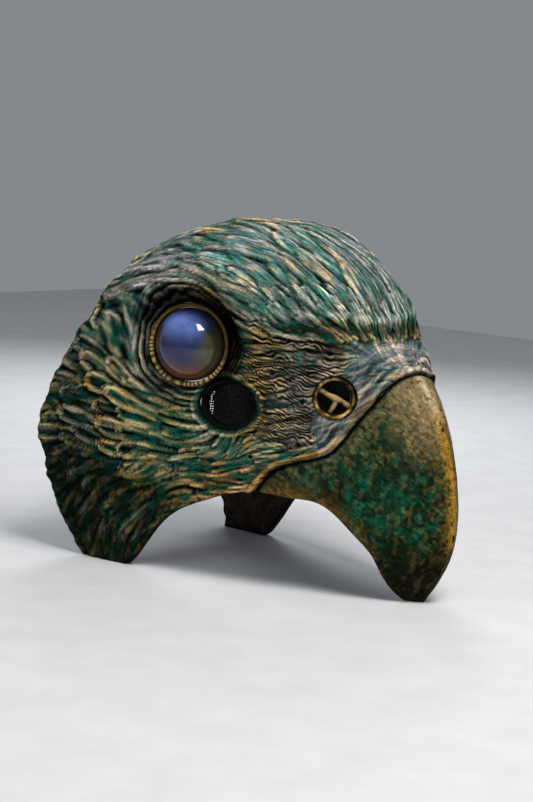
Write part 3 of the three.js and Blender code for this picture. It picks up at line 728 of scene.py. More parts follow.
RECESS = rgb(5, 12, 8)
GREEN = rgb(18, 82, 62)
TEAL = rgb(24, 104, 100)
below_ledge = smoothstep(3, -3, above_brow)
crown_mid = tinted(rgb(84, 128, 126), rgb(142, 138, 150), 0.5 + 0.8 * patches + 0.35 * flecks)
cheek_mid = tinted(rgb(26, 96, 80), rgb(78, 104, 90), 0.4 + 0.8 * patches + 0.35 * flecks)
lappet_mid = tinted(rgb(20, 28, 20), rgb(14, 40, 28), 0.4 + patches_small)
lore_mid = tinted(rgb(74, 62, 46), rgb(54, 60, 62), 0.4 + patches + 0.35 * flecks)
brush(lore_mid, rgb(112, 104, 98), 0.75 * smoothstep(-40, -60, aft) * smoothstep(128, 108, level))
cere_mid = tinted(rgb(100, 112, 118), rgb(150, 138, 146), 0.5 + 0.8 * patches + 0.35 * flecks)
brow_mid = tinted(rgb(82, 116, 102), rgb(148, 138, 134), 0.45 + patches + 0.35 * flecks)
socket_mid = tinted(rgb(12, 36, 28), rgb(44, 44, 24), 0.5 + patches_small)
fringe_mid = tinted(rgb(76, 124, 120), rgb(138, 136, 138), 0.5 + patches_small + 0.35 * flecks)
# painted shade: under the ledge the fringe is darker olive and teal
brush(fringe_mid, tinted(rgb(60, 58, 34), rgb(24, 62, 52), 0.5 + patches_small), below_ledge)
paint = tinted(GREEN, TEAL, 0.5 + patches_small)
ledge_zone = np.maximum(fringe, dripping)
for region, mid in ((cheek, cheek_mid), (lore, lore_mid), (brow_band, brow_mid), (crown, crown_mid),
                    (lappet, lappet_mid), (socket, socket_mid), (cere, cere_mid), (ledge_zone, fringe_mid)):
    brush(paint, mid, region)
green_spots = smoothstep(0.1, 0.9, noise(base, 5, 85)) * (1 - cere)
brush(paint, tinted(GREEN, TEAL, 0.5 + patches), 0.5 * green_spots)
paint *= (0.72 + 0.5 * tone)[..., None] * (1 + 0.2 * np.clip(threads, -2, 2))[..., None]

# saturated green and blue-green on the flanks of the cuts, near black at their bottoms
flank = tinted(rgb(8, 62, 48), rgb(10, 76, 78), 0.5 + patches + 0.5 * patches_small)
flank_strength = 0.85 * cheek + 0.68 * crown + 0.7 * brow_band + 0.35 * lore + 0.5 * cere + 0.3 * lappet
brush(paint, flank, smoothstep(0.25, -0.45, cavity) * np.clip(flank_strength, 0, 0.85))

gold = tinted(rgb(196, 152, 74), rgb(226, 208, 152), 0.4 + 0.6 * patches_small)
cream = tinted(rgb(216, 222, 204), rgb(204, 198, 208), 0.5 + patches)
strength = (0.75 * crown + 0.78 * brow_band + 0.95 * cheek + 0.16 * lappet + 0.7 * lore + 0.4 * socket
            + 0.5 * cere + 0.6 * ledge_zone)
strength = np.clip(strength, 0, 0.95)
pale_share = smoothstep(-0.4, 0.6, patches) * (0.62 + 0.38 * np.maximum(crown, brow_band))
pale = tinted(gold, cream, np.maximum(pale_share, fringe * (1 - below_ledge)))
lore_pale_share = smoothstep(-28, -52, aft) * (0.7 + 0.5 * patches_small)
lore_pale = tinted(rgb(190, 156, 100), rgb(164, 152, 150), lore_pale_share)
brush(pale, lore_pale, lore)
# pale gold and cream on the ridges and raised edges: partly real dry-brushed paint, partly painted highlight
drybrush_and_highlight = np.clip(0.85 * cavity + 0.28 * threads + 0.22 * flecks - 0.24, 0, 1)
brush(paint, pale, drybrush_and_highlight * strength)
brush(paint, pale, edge_drybrush_and_highlight * (0.6 + 0.3 * flecks) * strength)
rim = np.maximum(rim, 0.75 * fan * smoothstep(0.1, 0.9, fan_ridges) * smoothstep(140, 165, level))
rim_paint = tinted(gold, cream, 0.75 * smoothstep(118, 146, level + 8 * patches_small))
rim_share = np.clip(rim * (0.6 + 0.5 * flecks + 0.3 * threads), 0, 1)
brush(paint, rim_paint, rim_share * (0.8 * cheek + 0.25 * lappet))
# near black in the cuts and at the foot of raised edges: in the cuts partly the real dark wash and partly
# painted shade, at the foot of raised edges painted shadow
recess_wash_and_shade = smoothstep(-0.1, -1.1, cavity) * (1 - 0.4 * cere)
brush(paint, RECESS, np.maximum(recess_wash_and_shade, 0.92 * under_edge_shadow))

# the jaw under the ear is browner
jaw = cheek * smoothstep(92, 74, level) * smoothstep(30, -5, aft)
brush(paint, paint * np.array([1.3, 0.85, 0.66]), 0.85 * jaw)

# painted shade: the rear of the cheek and the lappets are darker, and so are the roof of the socket and the
# socket itself, most at its front
rear_shade = 0.4 * smoothstep(60, 105, aft) * smoothstep(185, 140, level)
paint *= (1 - rear_shade)[..., None]
eye_side = np.abs(eye_height) < 40
roof = socket_edge(eye_angle)
roof_shade = smoothstep(-0.1, 0.5, np.sin(eye_angle)) * smoothstep(roof + 3, roof - 6, eye_reach) * eye_side
paint *= (1 - 0.86 * roof_shade)[..., None]
# painted shade inside the socket, strongest at its front
paint *= (1 - 0.72 * socket * (0.45 + 0.55 * np.cos(eye_angle)))[..., None]

# painted shade in the hollow in front of the eye
front_hollow_shade = smoothstep(54, 40, eye_reach) * smoothstep(0.1, 0.7, np.cos(eye_angle)) * eye_side
paint *= (1 - 0.55 * front_hollow_shade)[..., None]

# gold lip along the seam, painted shadow under the ledge, painted highlight along the ridge of the cere
brush(paint, rgb(168, 122, 52), 0.8 * np.exp(-((seam_gap + 3.4) / 1.6) ** 2) * (1 - beak_side)
               * (0.6 + 0.4 * flecks) * smoothstep(6, 24, out))
# painted shadow under the ledge of the forehead
paint *= (1 - 0.62 * front * np.exp(-((above_brow + 5) / 5) ** 2))[..., None]
# painted highlight along the ridge of the cere
cere_ridge_highlight = np.exp(-(out / 8) ** 2) * cere
brush(paint, rgb(196, 182, 176), 0.7 * cere_ridge_highlight * (0.7 + 0.3 * flecks))

# beak: dark mottled green with bronze, a golden ridge, brown edges and a dark tip
mottle = 0.6 * noise(base, 12, 91) + 0.5 * noise(base, 5.5, 92) + 0.4 * noise(base, 3, 98)
specks = 0.5 * noise(base, 3.8, 94) + 0.8 * noise(base, 2.1, 99)
scratches = noise(base * np.array([1, 0.3, 0.3]), 1.8, 93)
low = smoothstep(120, 70, level)
speck_share = 0.25 + 0.5 * np.exp(-(out / 16) ** 2) + 0.3 * smoothstep(14, 2, seam_gap) + 0.3 * (1 - low)
beak_paint = tinted(rgb(14, 26, 17), rgb(24, 60, 42), 0.5 + 0.7 * mottle)
teal_share = 0.7 * low * smoothstep(8, 18, out) + 0.2
brush(beak_paint, rgb(16, 88, 68), teal_share * smoothstep(-0.2, 0.9, noise(base, 5, 95) + 0.5 * specks))
speck_paint = tinted(rgb(104, 74, 38), rgb(136, 120, 56), 0.5 + noise(base, 8, 96))
brush(beak_paint, speck_paint, 0.5 * smoothstep(0.4, 1.7, specks + 1.3 * speck_share))
top_bronze = smoothstep(82, 128, level + 6 * mottle) * smoothstep(36, 12, out + 4 * mottle)
brush(beak_paint, tinted(rgb(100, 90, 60), rgb(166, 138, 104), 0.45 + 0.5 * specks), 0.85 * top_bronze)
brush(beak_paint, rgb(104, 102, 78), 0.7 * smoothstep(17, 2, seam_gap) * smoothstep(-0.6, 0.7, specks))
ridge_gold = np.exp(-(out / 5.5) ** 2) * smoothstep(20, 50, level)
ridge_paint = tinted(rgb(190, 140, 46), rgb(212, 192, 156), smoothstep(112, 138, level))
brush(beak_paint, ridge_paint, 0.85 * ridge_gold * smoothstep(-0.6, 0.3, specks + 0.3))
edge_near = np.abs(np.abs(grid_v) - 1) * 60
brush(beak_paint, rgb(118, 80, 32), 0.75 * np.exp(-(edge_near / 4) ** 2) * (0.6 + 0.4 * specks))
brush(beak_paint, rgb(24, 19, 11), 0.88 * smoothstep(52, 20, level + 5 * mottle))
brush(beak_paint, rgb(170, 150, 92), 0.14 * smoothstep(0.2, 0.9, scratches))
pits = (noise(base, 2.6, 97) > 0.62) * np.exp(-(out / 12) ** 2)
brush(beak_paint, rgb(8, 8, 5), 0.85 * pits)
brush(paint, beak_paint, beak_side)
brush(paint, rgb(4, 7, 4), 0.95 * np.exp(-((seam_gap - 0.1) / 1.9) ** 2))
brush(paint, rgb(14, 66, 60), 0.7 * np.exp(-((port_oval - 1.14) / 0.06) ** 2) * port_side)
brush(paint, rgb(4, 12, 10), 0.9 * (1 - smoothstep(1.0, 1.09, port_oval)) * port_side)
paint = np.clip(paint, 0, 1)
gleam = np.clip(0.15 + 0.2 * drybrush_and_highlight * strength * (1 - beak_side) + 0.4 * beak_side, 0, 1)


# ------------------------------------------------------------------ meshes
def make_object(name, points, faces, smooth=True):
    """A mesh object from points in millimetres of the design frame."""
    mesh = bpy.data.meshes.new(name)
    moved = (np.asarray(points, float) + np.array([0, MIDDLE_SHIFT, 0])) * MM
    mesh.from_pydata(moved.tolist(), [], faces)
    mesh.validate()
    mesh.update()
    if smooth:
        mesh.polygons.foreach_set("use_smooth", [True] * len(mesh.polygons))
    obj = bpy.data.objects.new(name, mesh)
    bpy.context.scene.collection.objects.link(obj)
    return obj


def outward(obj):
    """Turns the faces of a closed mesh so that they point out."""
    work = bmesh.new()
    work.from_mesh(obj.data)
    bmesh.ops.recalc_face_normals(work, faces=work.faces)
    if work.calc_volume(signed=True) < 0:
        bmesh.ops.reverse_faces(work, faces=work.faces)
    work.to_mesh(obj.data)
    work.free()
    return obj


def put_colour(obj, name, values):
    """Linear colours on the points of a mesh."""
    layer = obj.data.attributes.new(name, "FLOAT_COLOR", "POINT")
    full = np.ones((len(obj.data.vertices), 4), np.float32)
    full[:, :3] = values
    layer.data.foreach_set("color", full.ravel())


def put_value(obj, name, values, domain="POINT"):
    layer = obj.data.attributes.new(name, "FLOAT", domain)
    layer.data.foreach_set("value", np.broadcast_to(values, len(layer.data)).astype(np.float32))


def put_place(obj, name, values):
    layer = obj.data.attributes.new(name, "FLOAT_VECTOR", "POINT")
    full = np.broadcast_to(values, (len(obj.data.vertices), 3)).astype(np.float32)
    layer.data.foreach_set("vector", full.ravel())


def ring_faces(rows, around, wrapped=False, start=0):
    """Quads between closed rings; wrapped also joins the last ring to the first."""
    faces = []
    for i in range(rows if wrapped else rows - 1):
        a = start + i * around
        b = start + (i + 1) % rows * around
        for j in range(around):
            k = (j + 1) % around
            faces.append((a + j, b + j, b + k, a + k))
    return faces


def closed_body(name, rings, start_pole, end_pole):
    """A closed solid from an array of rings [row, place round, xyz] and two poles."""
    rows, around = rings.shape[:2]
    points = np.concatenate([rings.reshape(-1, 3), [start_pole], [end_pole]])
    faces = ring_faces(rows, around)
    pole = rows * around
    for j in range(around):
        k = (j + 1) % around
        faces.append((pole, j, k))
        faces.append((pole + 1, pole - around + k, pole - around + j))
    return outward(make_object(name, points, faces))


def capped_body(name, rings):
    """A closed solid from rings, with poles in the middle of the first and the last ring."""
    return closed_body(name, rings, rings[0].mean(0), rings[-1].mean(0))


def wrapped_body(name, rings):
    """A closed solid from rings that follow each other round a hole."""
    return outward(make_object(name, rings.reshape(-1, 3), ring_faces(*rings.shape[:2], wrapped=True)))


CHORD_POINTS = 9


def with_chords(rows, drop):
    """Closes each row by a straight chord between its two ends, lowered by drop."""
    down = np.array([0, 0, -drop])
    steps = np.linspace(0, 1, CHORD_POINTS)[None, :, None]
    if drop == 0:
        steps = steps[:, 1:-1]
    chord = mix(rows[:, -1:] + down, rows[:, :1] + down, steps)
    return np.concatenate([rows, chord], 1)


RIM_PAINT = rgb(24, 27, 21)
CUT_PAINT = rgb(8, 16, 13)


def with_rim(values, first):
    """Adds a first row, for the plain rim of the rear opening."""
    return np.concatenate([np.broadcast_to(first, values[:1].shape), values])


rimmed_skin = with_rim(skin, mix(skin[:1], REAR_CENTRE, 0.004))
outer = closed_body("outer", with_chords(rimmed_skin, 0), REAR_CENTRE, TIP_CENTRE)


def padded_by_chords(values):
    """Values of the skin's grid for all points of the closed body: grid, chords and poles."""
    extra = np.repeat(values[:, :1], CHORD_POINTS - 2, 1)
    flat = np.concatenate([values, extra], 1)
    flat = flat.reshape((-1,) + values.shape[2:])
    return np.concatenate([flat, flat[-1:], flat[-1:]])


put_colour(outer, "paint", padded_by_chords(with_rim(paint, RIM_PAINT)))
put_value(outer, "gleam", padded_by_chords(with_rim(gleam, 0.1)))
put_value(outer, "outside", 1.0)
put_value(outer, "cut", 0.0, "FACE")
put_place(outer, "comb", padded_by_chords(with_rim(combing, combing[:1])))

HOLLOW_REACH = 60.0


def hollow_body():
    rows_s = np.linspace(0, HOLLOW_END, 90)
    cols_v = np.linspace(-1, 1, 110)
    rows = shell_points(rows_s[:, None], cols_v[None], WALL)
    rings = with_chords(rows, HOLLOW_REACH)
    back = np.array([0, HOLLOW_REACH, 0])
    rings = np.concatenate([rings[:1] + back, rings])
    return closed_body("hollow", rings, REAR_CENTRE + back, HOLLOW_END_CENTRE)


def side_frame(centre, axis, side):
    """Middle, axis, across and up of a round part; side is -1 on the bird's right."""
    mirror = np.array([side, 1, 1])
    return centre * mirror, axis * mirror, *axis_frame(axis * mirror)


def axis_points(radius_x, radius_z, heights, centre, axis, side, count):
    """Rings square to an axis: radii may be arrays, one for each height."""
    middle, direction, across, up = side_frame(centre, axis, side)
    angle = np.linspace(0, 2 * np.pi, count, endpoint=False)
    radius_x = np.broadcast_to(radius_x, np.shape(heights))
    radius_z = np.broadcast_to(radius_z, np.shape(heights))
    ring = (np.cos(angle)[None, :, None] * across * radius_x[:, None, None]
            + np.sin(angle)[None, :, None] * up * radius_z[:, None, None])
    return middle + ring + np.asarray(heights)[:, None, None] * direction


def plug(name, radius_x, radius_z, low, high, centre, axis, side, count=96):
    rings = axis_points(radius_x, radius_z, np.array([low, high], float), centre, axis, side, count)
    return capped_body(name, rings)


def prism_across(name, outline, half_width):
    """A prism across the mask from an outline in the [y, z] plane."""
    outline = np.asarray(outline, float)
    count = len(outline)
    left = np.concatenate([np.full((count, 1), -half_width), outline], 1)
    right = np.concatenate([np.full((count, 1), half_width), outline], 1)
    faces = [tuple(range(count))[::-1], tuple(range(count, 2 * count))]
    faces += [(j, (j + 1) % count, count + (j + 1) % count, count + j) for j in range(count)]
    obj = outward(make_object(name, np.concatenate([left, right]), faces, smooth=False))
    return obj


def beak_space(name, move):
    shift = move * math.sqrt(0.5)
    edge = smooth_line(SEAM, 46) - shift
    return prism_across(name, [*edge, [-220, 200], [-220, -40], [-20, -40]], 150)


def combined(obj, name, operations):
    """A new object: obj with cutters taken away or intersected, in order."""
    result = bpy.data.objects.new(name, obj.data.copy())
    bpy.context.scene.collection.objects.link(result)
    for operation, cutter in operations:
        cut = result.modifiers.new("cut", "BOOLEAN")
        cut.operation = operation
        cut.object = cutter
        cut.solver = "MANIFOLD"
    bpy.context.view_layer.update()
    graph = bpy.context.evaluated_depsgraph_get()
    mesh = bpy.data.meshes.new_from_object(result.evaluated_get(graph))
    mesh.name = name
    result.modifiers.clear()
    result.data = mesh
    return result


def drop(*objs):
    for obj in objs:
        bpy.data.objects.remove(obj)


below_floor = [[-300, FLOOR_TRIM], [300, FLOOR_TRIM], [300, -80], [-300, -80]]
cutters = [hollow_body(), prism_across("floor_trim", below_floor, 250)]
for side in (-1, 1):
    for name, radius_x, radius_z, low, high, centre, axis in (
            ("socket_cut", SOCKET_HOLE_RADIUS, SOCKET_HOLE_RADIUS, -8, 40, EYE_CENTRE, EYE_AXIS),
            ("port_cut", PORT_WIDTH / 2, PORT_HEIGHT / 2, -20, 30, PORT_CENTRE, PORT_AXIS),
            ("nostril_cut", NOSTRIL_HOLE_RADIUS, NOSTRIL_HOLE_RADIUS, -18, 20, NOSTRIL_CENTRE, NOSTRIL_AXIS)):
        cutters.append(plug(name, radius_x, radius_z, low, high, centre, axis, side))
front_space = beak_space("front_space", 0.4)
rear_space = beak_space("rear_space", 0)
for cutter in (*cutters, front_space, rear_space):
    put_value(cutter, "outside", 0.0 if cutter is cutters[0] else 1.0)
    put_value(cutter, "cut", 0.0 if cutter is cutters[0] else 1.0, "FACE")
    put_value(cutter, "gleam", 0.1)
    put_colour(cutter, "paint", CUT_PAINT)
    put_place(cutter, "comb", np.zeros(3))
differences = [("DIFFERENCE", cutter) for cutter in cutters]
head = combined(outer, "carved_head", differences + [("DIFFERENCE", rear_space)])
beak = combined(outer, "carved_beak", differences + [("INTERSECT", front_space)])
drop(outer, front_space, rear_space, *cutters)


def largest_piece(obj):
    """Keeps the largest connected piece and removes crumbs left by the cuts."""
    work = bmesh.new()
    work.from_mesh(obj.data)
    seen = set()
    best = []
    for start in work.verts:
        if start.index in seen:
            continue
        stack = [start]
        seen.add(start.index)
        group = []
        while stack:
            vert = stack.pop()
            group.append(vert)
            for edge in vert.link_edges:
                other = edge.other_vert(vert)
                if other.index not in seen:
                    seen.add(other.index)
                    stack.append(other)
        if len(group) > len(best):
            best = group
    keep = set(best)
    bmesh.ops.delete(work, geom=[v for v in work.verts if v not in keep], context="VERTS")
    work.to_mesh(obj.data)
    work.free()
    cut = np.zeros(len(obj.data.polygons), np.float32)
    obj.data.attributes["cut"].data.foreach_get("value", cut)
    obj.data.polygons.foreach_set("use_smooth", cut < 0.5)
    obj.data.set_sharp_from_angle(angle=math.radians(70))


def fill_cut_edges(obj):
    """The new points along a cut carry no values: they become dark painted resin."""
    count = len(obj.data.vertices)
    known = np.zeros(count, np.float32)
    obj.data.attributes["gleam"].data.foreach_get("value", known)
    blank = known < 0.05
    for name, kind, value in (("gleam", "value", [0.1]), ("outside", "value", [1.0]),
                              ("paint", "color", [*CUT_PAINT, 1]), ("comb", "vector", [0, 0, 0])):
        data = obj.data.attributes[name].data
        values = np.zeros(count * len(value), np.float32)
        data.foreach_get(kind, values)
        values.reshape(count, -1)[blank] = value
        data.foreach_set(kind, values)


for carved in (head, beak):
    largest_piece(carved)
    fill_cut_edges(carved)


# ------------------------------------------------------------------ materials
def new_material(name, roughness=0.5, metallic=0.0, coat=0.0, coat_roughness=0.1, sheen=0.0):
    material = bpy.data.materials.new(name)
    material.use_nodes = True
    shader = material.node_tree.nodes["Principled BSDF"]
    shader.inputs["Roughness"].default_value = roughness
    shader.inputs["Metallic"].default_value = metallic
    shader.inputs["Coat Weight"].default_value = coat
    shader.inputs["Coat Roughness"].default_value = coat_roughness
    shader.inputs["Sheen Weight"].default_value = sheen
    return material, material.node_tree, shader


def add_node(tree, kind, **settings):
    node = tree.nodes.new("ShaderNode" + kind)
    for key, value in settings.items():
        if key in node.inputs:
            node.inputs[key].default_value = value
        else:
            setattr(node, key.lower(), value)
    return node


def position_noise(tree, scale, detail=3.0, roughness=0.55, stretch=None):
    """Noise in object space; the scale is in cycles per metre."""
    place = add_node(tree, "TexCoord").outputs["Object"]
    if stretch:
        mapping = add_node(tree, "Mapping", Scale=stretch)
        tree.links.new(place, mapping.inputs["Vector"])
        place = mapping.outputs["Vector"]
    node = add_node(tree, "TexNoise", Scale=scale, Detail=detail, Roughness=roughness)
    tree.links.new(place, node.inputs["Vector"])
    return node.outputs["Fac"]


def remap(tree, value, low, high, to_low, to_high):
    node = add_node(tree, "MapRange")
    for name, number in (("From Min", low), ("From Max", high), ("To Min", to_low), ("To Max", to_high)):
        node.inputs[name].default_value = number
    tree.links.new(value, node.inputs["Value"])
    return node.outputs["Result"]


def ramp(tree, value, *stops):
    """A colour ramp through (place, colour) stops."""
    node = add_node(tree, "ValToRGB")
    elements = node.color_ramp.elements
    while len(elements) < len(stops):
        elements.new(0.5)
    for element, (place, colour) in zip(elements, stops):
        element.position = place
        element.color = (*colour, 1)
    tree.links.new(value, node.inputs["Fac"])
    return node.outputs["Color"]


def blend_colour(tree, factor, a, b, mode="MIX"):
    node = add_node(tree, "Mix")
    node.data_type = "RGBA"
    node.blend_type = mode
    for value, name in ((factor, 0), (a, 6), (b, 7)):
        if isinstance(value, bpy.types.NodeSocket):
            tree.links.new(value, node.inputs[name])
        elif name == 0:
            node.inputs[name].default_value = value
        else:
            node.inputs[name].default_value = (*value, 1)
    return node.outputs[2]


def multiplied(tree, colour, value, *stops):
    """The colour times a ramp of a value."""
    return blend_colour(tree, 1.0, colour, ramp(tree, value, *stops), "MULTIPLY")


def add_bump(tree, shader, height, strength, distance, normal=None):
    node = add_node(tree, "Bump", Strength=strength, Distance=distance)
    tree.links.new(height, node.inputs["Height"])
    if normal:
        tree.links.new(normal, node.inputs["Normal"])
    tree.links.new(node.outputs["Normal"], shader.inputs["Normal"])
    return node.outputs["Normal"]


def combed_hairs(tree):
    """Fine strands that run along each tuft."""
    comb = add_node(tree, "Attribute", attribute_name="comb").outputs["Vector"]
    mapping = add_node(tree, "Mapping", Scale=(1.0, 0.12, 1.0))
    tree.links.new(comb, mapping.inputs["Vector"])
    node = add_node(tree, "TexNoise", Scale=0.62, Detail=3.0, Roughness=0.62)
    tree.links.new(mapping.outputs["Vector"], node.inputs["Vector"])
    return node.outputs["Fac"]


def carved_paint():
    """Hand-painted resin: the colours lie on the mesh, with fine pigment and brush marks over them."""
    material, tree, shader = new_material("carved_paint")
    shader.inputs["Specular IOR Level"].default_value = 0.01
    colour = add_node(tree, "Attribute", attribute_name="paint").outputs["Color"]
    gleam_value = add_node(tree, "Attribute", attribute_name="gleam").outputs["Fac"]
    outside = add_node(tree, "Attribute", attribute_name="outside").outputs["Fac"]
    grain = position_noise(tree, 1100, 4)
    speck = position_noise(tree, 420, 3, 0.7)
    colour = multiplied(tree, colour, grain, (0.3, (0.55, 0.57, 0.55)), (0.72, (1.25, 1.22, 1.15)))
    hairs = combed_hairs(tree)
    combed_share = remap(tree, gleam_value, 0.35, 0.5, 1.0, 0.45)
    strands = ramp(tree, hairs, (0.34, (0.22, 0.3, 0.29)), (0.5, (0.95, 0.98, 0.95)), (0.68, (1.9, 1.8, 1.6)))
    colour = blend_colour(tree, combed_share, colour, strands, "MULTIPLY")
    dark = ramp(tree, speck, (0.36, (0.45, 0.5, 0.46)), (0.5, (1, 1, 1)))
    colour = blend_colour(tree, 0.8, colour, dark, "MULTIPLY")
    lining = ramp(tree, position_noise(tree, 160, 4), (0.35, rgb(38, 33, 28)), (0.7, rgb(66, 58, 48)))
    side = ramp(tree, outside, (0.25, (0, 0, 0)), (0.6, (1, 1, 1)))
    colour = blend_colour(tree, side, lining, colour)
    tree.links.new(colour, shader.inputs["Base Color"])
    tree.links.new(remap(tree, gleam_value, 0, 1, 0.62, 0.36), shader.inputs["Roughness"])
    tree.links.new(remap(tree, gleam_value, 0.25, 1, 0.0, 0.65), shader.inputs["Metallic"])
    first_bump = add_bump(tree, shader, grain, 0.4, 0.0005)
    add_bump(tree, shader, hairs, 0.8, 0.0012, first_bump)
    return material


def gilt():
    """Dry-brushed gold over dark green-brown, from the colours on the mesh."""
    material, tree, shader = new_material("gilt", metallic=0.25)
    shader.inputs["Specular IOR Level"].default_value = 0.02
    colour = add_node(tree, "Attribute", attribute_name="paint").outputs["Color"]
    grain = position_noise(tree, 900, 4)
    colour = multiplied(tree, colour, grain, (0.32, (0.5, 0.48, 0.44)), (0.7, (1.2, 1.18, 1.1)))
    tree.links.new(colour, shader.inputs["Base Color"])
    tree.links.new(remap(tree, grain, 0.3, 0.7, 0.62, 0.45), shader.inputs["Roughness"])
    add_bump(tree, shader, grain, 0.45, 0.0005)
    return material


def glassy():
    """Cast clear dome with a milky blue pearl inside, seen through a wet gloss."""
    material, tree, shader = new_material("glassy", coat=0.1, coat_roughness=0.03)
    shader.inputs["Specular IOR Level"].default_value = 0.5
    colour = add_node(tree, "Attribute", attribute_name="paint").outputs["Color"]
    clouds = position_noise(tree, 130, 5, 0.6)
    colour = multiplied(tree, colour, clouds, (0.3, (0.72, 0.74, 0.78)), (0.7, (1.25, 1.22, 1.2)))
    tree.links.new(colour, shader.inputs["Base Color"])
    rim = add_node(tree, "Attribute", attribute_name="rim").outputs["Fac"]
    tree.links.new(remap(tree, rim, 0, 1, 0.08, 0.75), shader.inputs["Roughness"])
    add_bump(tree, shader, position_noise(tree, 60, 2), 0.04, 0.001)
    return material


def worn_material(name, dark, light, scale, roughness, metallic=0.0, bump_strength=0.35, bump_depth=0.0003,
                  specular=0.4):
    """A plain stuff with two-tone mottling, fine grain and worn, lighter edges."""
    material, tree, shader = new_material(name, metallic=metallic)
    shader.inputs["Specular IOR Level"].default_value = specular
    grain = position_noise(tree, scale, 5, 0.6)
    broad = position_noise(tree, scale / 9, 2)
    colour = blend_colour(tree, 0.5, ramp(tree, grain, (0.3, dark), (0.75, light)),
                          ramp(tree, broad, (0.35, dark), (0.7, light)))
    edges = add_node(tree, "NewGeometry").outputs["Pointiness"]
    edge_colour = tuple(np.clip(light * 1.8 + 0.002, 0, 1))
    colour = blend_colour(tree, remap(tree, edges, 0.52, 0.6, 0, 0.6), colour, edge_colour)
    tree.links.new(colour, shader.inputs["Base Color"])
    shine = remap(tree, grain, 0.3, 0.7, roughness + 0.08, roughness - 0.08)
    tree.links.new(shine, shader.inputs["Roughness"])
    add_bump(tree, shader, grain, bump_strength, bump_depth)
    return material


def knit_fabric():
    """Black warp-knit cover of the foam pads."""
    material, tree, shader = new_material("knit_fabric", roughness=0.92, sheen=0.35)
    place = add_node(tree, "TexCoord").outputs["Object"]
    weave = None
    for direction in ("X", "Y"):
        wave = add_node(tree, "TexWave", Scale=260.0, Distortion=1.2, Detail=1.0)
        wave.bands_direction = direction
        tree.links.new(place, wave.inputs["Vector"])
        if weave is None:
            weave = wave.outputs["Fac"]
        else:
            joined = add_node(tree, "Math")
            joined.operation = "MULTIPLY"
            tree.links.new(weave, joined.inputs[0])
            tree.links.new(wave.outputs["Fac"], joined.inputs[1])
            weave = joined.outputs["Value"]
    shade = ramp(tree, weave, (0.0, rgb(18, 18, 19)), (0.8, rgb(62, 62, 64)))
    fuzz = position_noise(tree, 700, 3)
    colour = blend_colour(tree, 0.5, shade, ramp(tree, fuzz, (0.3, rgb(26, 26, 27)), (0.7, rgb(58, 57, 57))))
    tree.links.new(colour, shader.inputs["Base Color"])
    add_bump(tree, shader, weave, 0.7, 0.0006)
    return material


def webbing():
    """Ribbed black elastic."""
    material, tree, shader = new_material("webbing", roughness=0.85, sheen=0.25)
    grain = position_noise(tree, 900, 4, 0.6)
    rib = add_node(tree, "Attribute", attribute_name="rib").outputs["Fac"]
    colour = ramp(tree, rib, (0.0, rgb(12, 12, 13)), (1.0, rgb(52, 51, 52)))
    colour = multiplied(tree, colour, grain, (0.3, (0.6, 0.6, 0.6)), (0.7, (1.3, 1.3, 1.3)))
    tree.links.new(colour, shader.inputs["Base Color"])
    add_bump(tree, shader, grain, 0.6, 0.0004)
    return material


MATERIALS = {
    "carved": carved_paint(),
    "gilt": gilt(),
    "glassy": glassy(),
    "knit": knit_fabric(),
    "webbing": webbing(),
    "leather": worn_material("leather", rgb(34, 22, 15), rgb(84, 56, 36), 520, 0.6, bump_strength=0.55),
    "thread": worn_material("thread", rgb(120, 104, 76), rgb(176, 158, 122), 1600, 0.85),
    "steel": worn_material("steel", rgb(96, 94, 90), rgb(156, 153, 146), 700, 0.34, metallic=0.95),
    "plastic": worn_material("plastic", rgb(8, 9, 9), rgb(22, 22, 21), 800, 0.5, specular=0.01),
    "wire": worn_material("wire", rgb(3, 3, 4), rgb(9, 9, 11), 1200, 0.35, specular=0.02),
    "iris": worn_material("iris", rgb(46, 38, 26), rgb(110, 92, 60), 600, 0.45),
}


def dress(obj, material, body, *nodes, slot=None):
    """Gives a finished piece its material and the body it rides on, and hides the design nodes it stands for.
    """
    obj.data.materials.clear()
    obj.data.materials.append(MATERIALS[material])
    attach(obj, body)
    if nodes:
        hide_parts(*nodes)
    if material != "carved":
        obj.data.set_sharp_from_angle(angle=math.radians(65))
    return obj


# ------------------------------------------------------------------ eyes
SIDES = (("right", -1), ("left", 1))


def eye_disc(side, radii, heights, around):
    """Points on rings about the eye's axis, with their place: forward and up in the eye's plane."""
    rings = axis_points(radii, radii, np.asarray(heights, float), EYE_CENTRE, EYE_AXIS, side, around)
    middle, axis, across, _ = side_frame(EYE_CENTRE, EYE_AXIS, side)
    forward = across * side
    up = unit(np.array([0, 0, 1.0]) - axis * axis[2])
    offset = rings - middle
    return rings, offset @ forward, offset @ up


